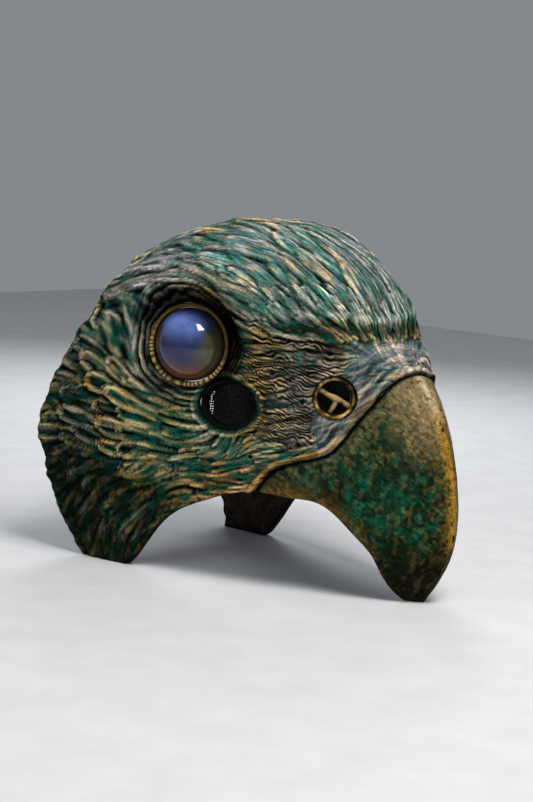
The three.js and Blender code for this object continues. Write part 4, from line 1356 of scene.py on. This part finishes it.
def eye_dome(name, side):
    start = math.asin(EYE_RIM_RADIUS / EYE_SPHERE_RADIUS)
    angles = start * (1 - np.linspace(0, 1, 60)[:-1])
    radii = np.concatenate([[EYE_RIM_RADIUS - 1.2, EYE_RIM_RADIUS - 0.3, EYE_RIM_RADIUS],
                            EYE_SPHERE_RADIUS * np.sin(angles)])
    base_height = EYE_RIM_HEIGHT - 3
    skirt = [base_height, base_height + 0.3, base_height + 1.2]
    heights = np.concatenate([skirt, EYE_SPHERE_RADIUS * np.cos(angles)])
    rings, forward, up = eye_disc(side, radii, heights, 128)
    middle, axis, _, _ = side_frame(EYE_CENTRE, EYE_AXIS, side)
    dome = closed_body("dome_" + name, rings, middle + axis * base_height, middle + axis * EYE_SPHERE_RADIUS)
    fx = np.concatenate([forward.ravel(), [0, 0]]) / EYE_RIM_RADIUS
    fy = np.concatenate([up.ravel(), [0, 0]]) / EYE_RIM_RADIUS
    r = np.hypot(fx, fy)
    swirl = noise(np.stack([fx, fy, fx * 0 + side], -1) * 1.0, 0.35, 5)
    colour = tinted(rgb(28, 36, 74), rgb(82, 102, 160), smoothstep(-0.15, 0.65, fy + 0.12 * swirl)
                    * smoothstep(0.95, 0.35, np.hypot(fx + 0.12, fy - 0.35)))
    brush(colour, rgb(58, 36, 98), 0.7 * smoothstep(0.72, 0.95, fy + 0.1 * fx))
    brush(colour, rgb(66, 62, 38), smoothstep(0.2, 0.75, fx - 0.35 * fy + 0.08 * swirl))
    brush(colour, rgb(92, 52, 24), smoothstep(-0.38, -0.78, fy + 0.06 * swirl))
    brush(colour, rgb(38, 32, 28), smoothstep(-0.62, -0.85, fx + 0.1 * swirl))
    # painted reflection: a thin pale arc in the lower left of the dome
    arc = np.exp(-((np.hypot(fx - 0.12, fy - 0.05) - 0.82) / 0.022) ** 2) * smoothstep(0.1, -0.5, fx + fy)
    brush(colour, rgb(120, 112, 118), 0.3 * arc)
    brush(colour, rgb(20, 18, 22), smoothstep(0.86, 1.0, r))
    put_colour(dome, "paint", colour)
    put_value(dome, "rim", smoothstep(0.84, 0.94, r))
    return dress(dome, "glassy", "mask", "eye_dome_" + name, slot="dome")


def eyelid(name, side):
    """Rolled lid: thick and knobbly below and behind the eye, a thin gold cord above it."""
    around = 420
    across = 18
    theta = np.linspace(0, 2 * np.pi, around, endpoint=False)
    probe, forward, up = eye_disc(side, np.array([26.2]), np.array([EYE_RIM_HEIGHT]), around)
    towards_up = up[0] / 26.2
    towards_front = forward[0] / 26.2
    lower = smoothstep(0.35, -0.55, towards_up + 0.25 * towards_front)
    thickness = 0.95 + 0.95 * lower
    bead_phase = theta * 44 + 3.2 * np.sin(theta * 3) + 2.4 * np.sin(theta * 8 + 1)
    beads = 1 + (0.04 + 0.16 * lower) * np.cos(bead_phase)
    ring = np.empty((around, across, 3))
    middle, axis, _, _ = side_frame(EYE_CENTRE, EYE_AXIS, side)
    middle = middle + axis * (EYE_RIM_HEIGHT + 0.9)
    outward_dir = (probe[0] - probe[0].mean(0)) / 26.2
    phi = np.linspace(0, 2 * np.pi, across, endpoint=False)
    for k, angle in enumerate(phi):
        out = np.cos(angle)
        top = np.sin(angle)
        if top >= 0:
            bead = mix(1.0, beads, top ** 0.5)
            flare = 1 + 0.75 * lower * smoothstep(0, 0.5, top) * (out > 0)
            ring[:, k] = (middle + outward_dir * (26.15 + out * 1.35 * flare)[:, None]
                          + axis * (top * thickness * bead * 1.5)[:, None])
        else:
            squared = abs(out) ** 0.25 * math.copysign(1, out)
            ring[:, k] = middle + outward_dir * (26.2 + squared * 1.4) - axis * 6.5 * (-top) ** 0.5
    lid = wrapped_body("lid_" + name, ring)
    crest = np.repeat((beads - beads.min()) / (beads.max() - beads.min()), across)
    top = np.tile(np.sin(phi), around)
    low = np.repeat(lower, across)
    gold_share = (0.15 + 0.85 * crest) * smoothstep(-0.3, 0.9, top) * (0.45 + 0.55 * low)
    colour = tinted(rgb(22, 30, 22), rgb(188, 152, 84), gold_share)
    brush(colour, rgb(228, 208, 160), 0.55 * crest ** 3 * low * smoothstep(0.5, 1, top))
    put_colour(lid, "paint", colour)
    return dress(lid, "gilt", "mask", "eyelid_ring_" + name, slot="gilt")


# ------------------------------------------------------------------ tubes and woven mesh
def tube_mesh(paths, radius, sides):
    """Points and faces of closed tubes along several paths, one after the other."""
    all_points = []
    faces = []
    start = 0
    for path, normal in paths:
        path = np.asarray(path, float)
        tangent = np.gradient(path, axis=0)
        tangent /= np.linalg.norm(tangent, axis=1, keepdims=True)
        a = np.cross(tangent, normal)
        a /= np.linalg.norm(a, axis=1, keepdims=True)
        b = np.cross(a, tangent)
        angles = np.linspace(0, 2 * np.pi, sides, endpoint=False)
        size = np.broadcast_to(radius, len(path))[:, None, None]
        rings = path[:, None] + size * (np.cos(angles)[None, :, None] * a[:, None]
                                        + np.sin(angles)[None, :, None] * b[:, None])
        count = len(path)
        all_points.append(rings.reshape(-1, 3))
        faces += ring_faces(count, sides, start=start)
        faces.append(tuple(start + j for j in range(sides))[::-1])
        faces.append(tuple(start + (count - 1) * sides + j for j in range(sides)))
        start += count * sides
    return np.concatenate(all_points), faces


WIRE_PITCH = 1.6
WIRE_RADIUS = 0.42
MESH_HEIGHT = -5.1
PORT_ROOM_X = PORT_WIDTH / 2 - 2.3
PORT_ROOM_Z = PORT_HEIGHT / 2 - 2.3


def woven_mesh(name, side):
    middle, direction, across, up = side_frame(PORT_CENTRE, PORT_AXIS, side)
    paths = []
    for first, second, room_first, room_second, phase in (
            (across, up, PORT_ROOM_X, PORT_ROOM_Z, 0), (up, across, PORT_ROOM_Z, PORT_ROOM_X, 1)):
        count = int(room_second / WIRE_PITCH)
        for k in range(-count, count + 1):
            offset = k * WIRE_PITCH
            reach = room_first * math.sqrt(max(1 - (offset / room_second) ** 2, 0))
            if reach < WIRE_PITCH:
                continue
            run = np.linspace(-reach, reach, int(4 * reach / WIRE_PITCH) + 2)
            wave = 0.38 * np.cos(np.pi * (run / WIRE_PITCH + k + phase))
            paths.append((middle + run[:, None] * first + offset * second
                          + (MESH_HEIGHT + wave)[:, None] * direction, direction))
    points, faces = tube_mesh(paths, WIRE_RADIUS, 6)
    obj = outward(make_object("mesh_" + name, points, faces))
    return dress(obj, "wire", "mask", "vision_mesh_" + name, slot="mesh")


def lathe_on(name, profile, centre, axis, side, around, stretch=(1.0, 1.0)):
    """A ring turned about an axis from a closed [radius, height] profile; stretch makes it oval."""
    middle, direction, across, up = side_frame(centre, axis, side)
    angle = np.linspace(0, 2 * np.pi, around, endpoint=False)
    profile = np.asarray(profile, float)
    turn = np.cos(angle)[:, None, None] * across * stretch[0] + np.sin(angle)[:, None, None] * up * stretch[1]
    points = middle + turn * profile[None, :, :1] + direction * profile[None, :, 1:]
    return wrapped_body(name, points), points


def rounded_loop(corners, radius, steps=4):
    """A closed [r, h] outline with its corners rounded."""
    corners = np.asarray(corners, float)
    count = len(corners)
    outline = []
    for i in range(count):
        before = unit(corners[i - 1] - corners[i])
        after = unit(corners[(i + 1) % count] - corners[i])
        start = corners[i] + before * radius
        end = corners[i] + after * radius
        for t in np.linspace(0, 1, steps):
            outline.append((1 - t) ** 2 * start + 2 * t * (1 - t) * corners[i] + t ** 2 * end)
    return np.array(outline)


def port_frame(name, side):
    """Black oval grommet with a rounded lip, which holds the woven mesh at its back."""
    play = 0.12
    outer_r = PORT_WIDTH / 2 - play
    profile = rounded_loop([[outer_r - 1.6, -5.3], [outer_r - 1.3, 1.2], [outer_r, 1.2], [outer_r, -7],
                            [outer_r - 2.6, -7], [outer_r - 2.6, -5.9]], 0.35)
    stretch = (1.0, (PORT_HEIGHT / 2 - play) / outer_r)
    obj, _ = lathe_on("grommet_" + name, profile, PORT_CENTRE, PORT_AXIS, side, 160, stretch)
    return dress(obj, "plastic", "mask", "port_frame_" + name, slot="black_plastic")


def nostril_ring(name, side):
    """Wrinkled gold ring of the nostril."""
    around = 260
    across_count = 20
    phi = np.linspace(0, 2 * np.pi, across_count, endpoint=False)
    rounded = np.stack([12.75 + 1.6 * np.cos(phi), 3.2 * np.sin(phi)], 1)
    square = np.sign(np.cos(phi)) * np.abs(np.cos(phi)) ** 0.25
    buried = np.stack([12.6 + 1.74 * square, -7.4 * np.abs(np.sin(phi)) ** 0.5], 1)
    profile = np.where(np.sin(phi)[:, None] >= -1e-9, rounded, buried)
    obj, points = lathe_on("nostril_" + name, profile, NOSTRIL_CENTRE, NOSTRIL_AXIS, side, around)
    middle, direction, across, up = side_frame(NOSTRIL_CENTRE, NOSTRIL_AXIS, side)
    flat = points.reshape(-1, 3)
    wrinkle = 0.35 * noise(flat, 2.6, 111) + 0.35 * noise(flat, 6, 112)
    upper = np.tile(np.clip(np.sin(phi), 0, 1), around)
    shift = (wrinkle * upper)[:, None] * direction * 2.0
    for vertex, move in zip(obj.data.vertices, shift * MM):
        vertex.co = vertex.co + Vector(move)
    inner = np.tile(-np.cos(phi), around)
    worn = np.clip(0.5 + 2.2 * wrinkle, 0.1, 1) * smoothstep(0.15, 0.8, upper)
    colour = tinted(rgb(30, 30, 20), rgb(176, 140, 78), worn * (0.6 + 0.4 * smoothstep(-0.5, 0.6, inner)))
    brush(colour, rgb(224, 198, 146), 0.5 * smoothstep(0.7, 1.0, worn))
    put_colour(obj, "paint", colour)
    return dress(obj, "gilt", "mask", "nostril_ring_" + name, slot="gilt")


def nostril_bar(name, side):
    """Forked bar across the nostril: a bowed beam and a short leg, both softly rounded."""
    middle, direction, across, up = side_frame(NOSTRIL_CENTRE, NOSTRIL_AXIS, side)
    forward = across if side > 0 else -across
    room = 10.6
    slope = -0.5
    beam_dir = forward * math.cos(slope) + up * math.sin(slope)
    beam_up = np.cross(direction, beam_dir)
    beam_up = beam_up * np.sign(beam_up @ up)
    run = np.linspace(-room, room, 40)
    bow = 0.9 * np.cos(run / room * np.pi / 2)
    beam = (middle + run[:, None] * beam_dir + (bow - 2.2)[:, None] * direction
            + (0.6 * np.sin(run / 4))[:, None] * beam_up)
    leg_start = middle + beam_dir * 2.0 - direction * 2.0
    fall = np.linspace(0, room - 0.6, 22)
    leg = leg_start - fall[:, None] * beam_up + (0.5 * np.sin(fall / 4))[:, None] * beam_dir
    beam_points, beam_faces = tube_mesh([(beam, direction)], 2.0 + 0.25 * np.cos(run / 1.7), 14)
    leg_points, leg_faces = tube_mesh([(leg, direction)], np.linspace(1.9, 1.5, 22), 14)
    beam_obj = outward(make_object("beam", beam_points, beam_faces))
    leg_obj = outward(make_object("leg", leg_points, leg_faces))
    obj = combined(beam_obj, "nostril_fork_" + name, [("UNION", leg_obj)])
    drop(beam_obj, leg_obj)
    places = np.empty(len(obj.data.vertices) * 3)
    obj.data.vertices.foreach_get("co", places)
    places = places.reshape(-1, 3) / MM - np.array([0, MIDDLE_SHIFT, 0])
    high = (places - middle) @ direction
    gold_share = smoothstep(-2.0, 0.8, high + 1.2 * noise(places, 2.6, 121))
    colour = tinted(rgb(22, 26, 18), rgb(176, 152, 104), gold_share)
    put_colour(obj, "paint", colour)
    for polygon in obj.data.polygons:
        polygon.use_smooth = True
    return dress(obj, "gilt", "mask", "nostril_bar_" + name, slot="gilt")


for side_name, side_sign in SIDES:
    eye_dome(side_name, side_sign)
    eyelid(side_name, side_sign)
    woven_mesh(side_name, side_sign)
    port_frame(side_name, side_sign)
    nostril_ring(side_name, side_sign)
    nostril_bar(side_name, side_sign)


# ------------------------------------------------------------------ pads
PAD_GAP = 2.3
PADS = [
    # name, s, half length in s, v, half width in v, thickness
    ("forehead_pad", 4.1, 0.55, 0, 0.2, 11),
    ("crown_pad", 1.5, 0.75, 0, 0.2, 10),
    ("temple_pad_left", 0.95, 0.6, 0.42, 0.1, 10),
    ("temple_pad_right", 0.95, 0.6, -0.42, 0.1, 10),
    ("cheek_pad_left", 1.8, 0.38, 0.76, 0.09, 9),
    ("cheek_pad_right", 1.8, 0.38, -0.76, 0.09, 9),
]


def cad_relief(points):
    """The design's own large forms, which the pads follow."""
    side_points = points.copy()
    side_points[..., 0] = np.abs(side_points[..., 0])
    gap, _ = line_distance(side_points, CAD_BROW)
    high, reach, _ = polar_about(side_points, EYE_RIM_CENTRE, EYE_AXIS)
    in_socket = 1 - smoothstep(29, 47, reach)
    return 6.5 * np.exp(-(gap / 10) ** 2) * (1 - in_socket) + (-1.5 - high) * in_socket


def pad(name, s_mid, s_half, v_mid, v_half, thickness):
    rows = 40
    around = 96
    tilt = np.linspace(0, np.pi, rows + 2)[1:-1, None]
    angle = np.linspace(0, 2 * np.pi, around, endpoint=False)[None]
    spread = np.sin(tilt) ** 0.6
    rise = np.sign(np.cos(tilt)) * np.abs(np.cos(tilt)) ** 0.6
    s = s_mid + s_half * spread * np.cos(angle)
    v = v_mid + v_half * spread * np.sin(angle)
    rise = np.broadcast_to(rise, s.shape)
    # the cover pulls in a little between its welted edge and the crown of the pad
    edge_dip = 0.7 * np.exp(-((spread - 0.86) / 0.07) ** 2) * (rise < 0.3)
    depth = WALL + PAD_GAP + thickness * (1 - rise) / 2 - edge_dip
    points = base_points(s, v)
    rings = points + base_normals(s, v) * (cad_relief(points) - depth)[..., None]
    rings = rings + (0.22 * noise(rings, 9, 131))[..., None] * base_normals(s, v)
    obj = dress(capped_body(name + "_cover", rings), "knit", "mask", name, slot="pad_fabric")


CAD_BROW = smooth_line(np.array([[89, 82, 184], [88, 57, 192], [83, 22, 198], [77, -6, 191], [65, -36, 181],
                                 [42, -66, 180]], float), 40)
for row in PADS:
    pad(*row)


# ------------------------------------------------------------------ strap
PIVOT = np.array([0, 106.0, 118.0])
FLANGE_X = 87.2
TAB_OUTER_X = 84.9
TAB_INNER_X = 82.4
TAB_HALF = 12.0
TAB_DROP = 26.0
BAND_OUTER_X = 82.1
BAND_THICKNESS = 1.6
BAND_HALF = 11.0
BAND_BEND = 30.0
BAND_BOTTOM_Z = 59.0
BAND_TOP_Z = 107.0
SLIDER_X = 18.0


def strap_band():
    """Ribbed elastic in a U between the tabs."""
    middle_x = BAND_OUTER_X - BAND_THICKNESS / 2
    bend_z = BAND_BOTTOM_Z + BAND_BEND
    bend_x = middle_x - BAND_BEND
    turn = np.linspace(0, np.pi / 2, 40)
    right_bend = [(-bend_x - BAND_BEND * np.cos(a), bend_z - BAND_BEND * np.sin(a)) for a in turn]
    left_bend = [(bend_x + BAND_BEND * np.sin(a), bend_z - BAND_BEND * np.cos(a)) for a in turn]
    right_side = [(-middle_x, z) for z in np.linspace(BAND_TOP_Z, bend_z, 14)[:-1]]
    left_side = [(middle_x, z) for z in np.linspace(bend_z, BAND_TOP_Z, 14)[1:]]
    bottom = [(x, BAND_BOTTOM_Z) for x in np.linspace(-bend_x, bend_x, 80)[1:-1]]
    route = np.array(right_side + right_bend + bottom + left_bend + left_side)
    tangent = np.gradient(route, axis=0)
    tangent /= np.linalg.norm(tangent, axis=1, keepdims=True)
    inward = np.stack([-tangent[:, 1], tangent[:, 0]], 1)
    width_steps = np.linspace(-1, 1, 67)
    ribs = 0.5 + 0.5 * np.cos(width_steps * np.pi * 11)
    half = (BAND_THICKNESS / 2) * (0.72 + 0.28 * ribs) * np.sqrt(np.clip(1 - width_steps ** 24, 0.02, 1))
    loop_y = np.concatenate([width_steps, width_steps[::-1]]) * BAND_HALF
    loop_h = np.concatenate([half, -half[::-1]])
    rings = np.empty((len(route), len(loop_y), 3))
    rings[..., 0] = route[:, None, 0] + inward[:, None, 0] * loop_h
    rings[..., 1] = PIVOT[1] + loop_y
    rings[..., 2] = route[:, None, 1] + inward[:, None, 1] * loop_h
    obj = capped_body("elastic_band", rings)
    rib_values = np.tile(np.concatenate([ribs, ribs[::-1]]), len(route))
    put_value(obj, "rib", np.concatenate([rib_values, [0, 0]]))
    return dress(obj, "webbing", "strap", "strap_band", slot="webbing")


def outline_plate(name, outline, x_from, x_to, bevel, side):
    """A plate with rounded edges from a [y, z] outline, between two distances from the middle plane."""
    outline = np.asarray(outline, float)
    middle = outline.mean(0)
    layers_in = []
    steps = np.linspace(0, np.pi / 2, 5)
    for a in steps:
        layers_in.append((bevel * (1 - np.sin(a)), x_from + bevel * (1 - np.cos(a))))
    for a in steps[::-1]:
        layers_in.append((bevel * (1 - np.sin(a)), x_to - bevel * (1 - np.cos(a))))
    edge = np.roll(outline, -1, 0) - np.roll(outline, 1, 0)
    edge /= np.linalg.norm(edge, axis=1, keepdims=True)
    inward = np.stack([-edge[:, 1], edge[:, 0]], 1)
    if ((middle - outline[0]) * inward[0]).sum() < 0:
        inward = -inward
    rings = []
    for inset, x in layers_in:
        flat = outline + inward * inset
        rings.append(np.concatenate([np.full((len(flat), 1), x * side), flat], 1))
    return capped_body(name, np.array(rings))


def tab_outline(half, drop):
    arc = np.linspace(0, np.pi, 48)
    top = np.stack([PIVOT[1] + half * np.cos(arc), PIVOT[2] + half * np.sin(arc)], 1)
    left = np.stack([np.full(24, PIVOT[1] - half), np.linspace(PIVOT[2], PIVOT[2] - drop, 25)[1:]], 1)
    low = np.stack([np.linspace(PIVOT[1] - half, PIVOT[1] + half, 25)[1:-1], np.full(23, PIVOT[2] - drop)], 1)
    right = np.stack([np.full(24, PIVOT[1] + half), np.linspace(PIVOT[2] - drop, PIVOT[2], 25)[:-1]], 1)
    return np.concatenate([top, left, low, right])


def strap_tab(name, side):
    plate = outline_plate("tab_plate", tab_outline(TAB_HALF, TAB_DROP), TAB_INNER_X, TAB_OUTER_X, 0.8, side)
    angle = np.linspace(0, 2 * np.pi, 40, endpoint=False)
    ring = np.stack([PIVOT[1] + 3.3 * np.cos(angle), PIVOT[2] + 3.3 * np.sin(angle)], 1)
    bore = outline_plate("tab_bore", ring, TAB_INNER_X - 3, TAB_OUTER_X + 3, 0.1, side)
    obj = combined(plate, "leather_tab_" + name, [("DIFFERENCE", bore)])
    drop(plate, bore)
    return dress(obj, "leather", "strap", "strap_tab_" + name, slot="leather")


def tab_stitches(name, side):
    """A row of thread stitches round the foot of the tab, where it is sewn to the band."""
    paths = []
    low = PIVOT[2] - TAB_DROP + 2.2
    x = side * (TAB_OUTER_X + 0.05)
    route = [(PIVOT[1] - TAB_HALF + 2.2, low + 14.5 - 2.9 * k) for k in range(5)]
    route += [(PIVOT[1] - TAB_HALF + 2.2 + 2.8 * k, low) for k in range(8)]
    route += [(PIVOT[1] + TAB_HALF - 2.2, low + 2.9 * k) for k in range(1, 6)]
    for (y0, z0), (y1, z1) in zip(route[:-1], route[1:]):
        t = np.linspace(0.14, 0.86, 7)
        path = np.stack([np.full(7, x) + side * 0.22 * np.sin(np.pi * (t - 0.14) / 0.72), y0 + (y1 - y0) * t,
                         z0 + (z1 - z0) * t], 1)
        paths.append((path, np.array([1.0, 0, 0])))
    points, faces = tube_mesh(paths, 0.33, 8)
    obj = outward(make_object("stitches_" + name, points, faces))
    return dress(obj, "thread", "strap", slot="leather")


def strap_post(name, side):
    """Turned post: flange against the shell, shaft, and a domed head inside the tab."""
    head_end = BAND_OUTER_X - 1.5
    profile = [(0.0, head_end), (4.0, head_end + 0.05), (5.0, head_end + 0.3), (5.45, head_end + 0.8),
               (5.5, 82.0), (5.3, 82.1), (3.0, 82.1), (3.0, 85.2), (7.6, 85.2), (7.95, 85.35), (8.0, 85.7),
               (8.0, 86.9), (7.8, 87.15), (7.4, FLANGE_X), (0.0, FLANGE_X)]
    around = 64
    angle = np.linspace(0, 2 * np.pi, around, endpoint=False)
    rings = np.array([np.stack([np.full(around, x * side), PIVOT[1] + r * np.cos(angle),
                                PIVOT[2] + r * np.sin(angle)], 1) for r, x in profile[1:-1]])
    obj = closed_body("post_" + name, rings, np.array([profile[0][1] * side, PIVOT[1], PIVOT[2]]),
                      np.array([profile[-1][1] * side, PIVOT[1], PIVOT[2]]))
    return dress(obj, "steel", "mask", "strap_post_" + name, slot="steel")


def strap_slider():
    """Two-slot buckle on the band: a rounded sleeve with a grip rib across each face."""
    half_y = BAND_HALF + 0.5
    half_z = BAND_THICKNESS / 2 + 0.5
    wall = 2.0
    corner = 1.2
    length = 14.0
    def rounded_box(extra, radius):
        points = []
        for cy, cz, start in ((1, 1, 0), (-1, 1, 0.5), (-1, -1, 1.0), (1, -1, 1.5)):
            for a in np.linspace(0, np.pi / 2, 7):
                turn = a + start * np.pi
                points.append((PIVOT[1] + cy * (half_y + extra - radius) + radius * np.cos(turn),
                               BAND_BOTTOM_Z + cz * (half_z + extra - radius) + radius * np.sin(turn)))
        return np.array(points)
    inner = rounded_box(0, 0.3)
    outer_loop = rounded_box(wall, corner)
    xs = np.linspace(-length / 2, length / 2, 29)
    rings = []
    for x in xs:
        end = min(1.0, (length / 2 - abs(x)) / 0.9)
        round_in = 0.5 * (1 - math.sqrt(max(1 - (1 - end) ** 2, 0)))
        rib = 0.0 if abs(abs(x) - 3.2) > 0.9 else -0.35
        loop = outer_loop.copy()
        centre = np.array([PIVOT[1], BAND_BOTTOM_Z])
        loop = loop - np.sign(loop - centre) * round_in
        loop[:, 1] += np.sign(loop[:, 1] - BAND_BOTTOM_Z) * rib
        rings.append(np.concatenate([np.full((len(loop), 1), SLIDER_X + x), loop], 1))
    rings += [np.concatenate([np.full((len(inner), 1), SLIDER_X + x), inner], 1) for x in xs[::-1]]
    buckle = wrapped_body("buckle", np.array(rings))
    return dress(buckle, "plastic", "slider", "strap_slider", slot="black_plastic")


strap_band()
strap_slider()
for side_name, side_sign in SIDES:
    strap_tab(side_name, side_sign)
    tab_stitches(side_name, side_sign)
    strap_post(side_name, side_sign)

# ------------------------------------------------------------------ shell, beak and carried-over nodes
dress(head, "carved", "mask", "head_shell", slot="shell_paint")
dress(beak, "carved", "mask", "beak", slot="beak_paint")
for node_name, material_name in (
        ("seam_backing_strip", "leather"), ("iris_disc_right", "iris"), ("iris_disc_left", "iris"),
        ("nostril_backing_right", "plastic"), ("nostril_backing_left", "plastic")):
    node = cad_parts[node_name]
    node.data.materials.clear()
    node.data.materials.append(MATERIALS[material_name])


# ------------------------------------------------------------------ floor, light and camera
CAMERA_SIDE = math.radians(52)        # round from the front towards the bird's right
CAMERA_RISE = math.radians(8)
CAMERA_ROLL = math.radians(3.5)
CAMERA_DISTANCE = 1.32
CAMERA_TARGET = Vector((0, 0.0182, 0.115))


def look_at(obj, place, target):
    obj.location = place
    obj.rotation_euler = (target - place).to_track_quat("-Z", "Y").to_euler()


def add_camera():
    level_part = math.cos(CAMERA_RISE)
    back = Vector((-math.sin(CAMERA_SIDE) * level_part, -math.cos(CAMERA_SIDE) * level_part,
                   math.sin(CAMERA_RISE)))
    right = Vector((math.cos(CAMERA_SIDE), -math.sin(CAMERA_SIDE), 0))
    up = back.cross(right)
    turned_right = right * math.cos(CAMERA_ROLL) + up * math.sin(CAMERA_ROLL)
    turned_up = up * math.cos(CAMERA_ROLL) - right * math.sin(CAMERA_ROLL)
    data = bpy.data.cameras.new("camera")
    data.sensor_fit = "VERTICAL"
    data.sensor_height = 36
    data.lens = 85
    camera = bpy.data.objects.new("camera", data)
    bpy.context.scene.collection.objects.link(camera)
    placed = Matrix((turned_right, turned_up, back)).transposed().to_4x4()
    placed.translation = CAMERA_TARGET + back * CAMERA_DISTANCE
    camera.matrix_world = placed
    bpy.context.scene.camera = camera


def add_light(name, place, size, energy, colour):
    data = bpy.data.lights.new(name, "AREA")
    data.shape = "RECTANGLE"
    data.size, data.size_y = size
    data.energy = energy
    data.color = colour
    lamp = bpy.data.objects.new(name, data)
    bpy.context.scene.collection.objects.link(lamp)
    lamp.visible_glossy = name == "key"
    look_at(lamp, Vector(place), Vector((0, 0, 0.13)))


def add_floor():
    """A plain pale sheet under the object."""
    count = 41
    reach = np.linspace(-1600, 1600, count)
    points = [(x, y, 0) for y in reach for x in reach]
    corners = [i * count + j for i in range(count - 1) for j in range(count - 1)]
    faces = [(a, a + 1, a + count + 1, a + count) for a in corners]
    floor = make_object("floor", points, faces)
    floor.location.z = -0.0002
    material, tree, shader = new_material("floor_paper", roughness=0.85)
    tone_value = position_noise(tree, 30, 4)
    colour = ramp(tree, tone_value, (0.3, rgb(196, 197, 199)), (0.7, rgb(204, 205, 207)))
    tree.links.new(colour, shader.inputs["Base Color"])
    floor.data.materials.append(material)


def add_world():
    world = bpy.data.worlds.new("studio")
    bpy.context.scene.world = world
    world.use_nodes = True
    background = world.node_tree.nodes["Background"]
    background.inputs["Color"].default_value = (0.78, 0.82, 0.88, 1)
    background.inputs["Strength"].default_value = 0.3


bpy.context.scene.view_settings.view_transform = "Standard"
add_camera()
add_floor()
add_world()
add_light("key", (-0.25, -0.55, 1.05), (0.5, 0.4), 15, (1.0, 0.97, 0.93))
add_light("fill", (-1.3, 0.1, 0.5), (0.8, 0.8), 3.5, (0.86, 0.92, 1.0))
add_light("rim", (0.7, 0.6, 0.7), (0.5, 0.5), 7, (0.95, 0.97, 1.0))
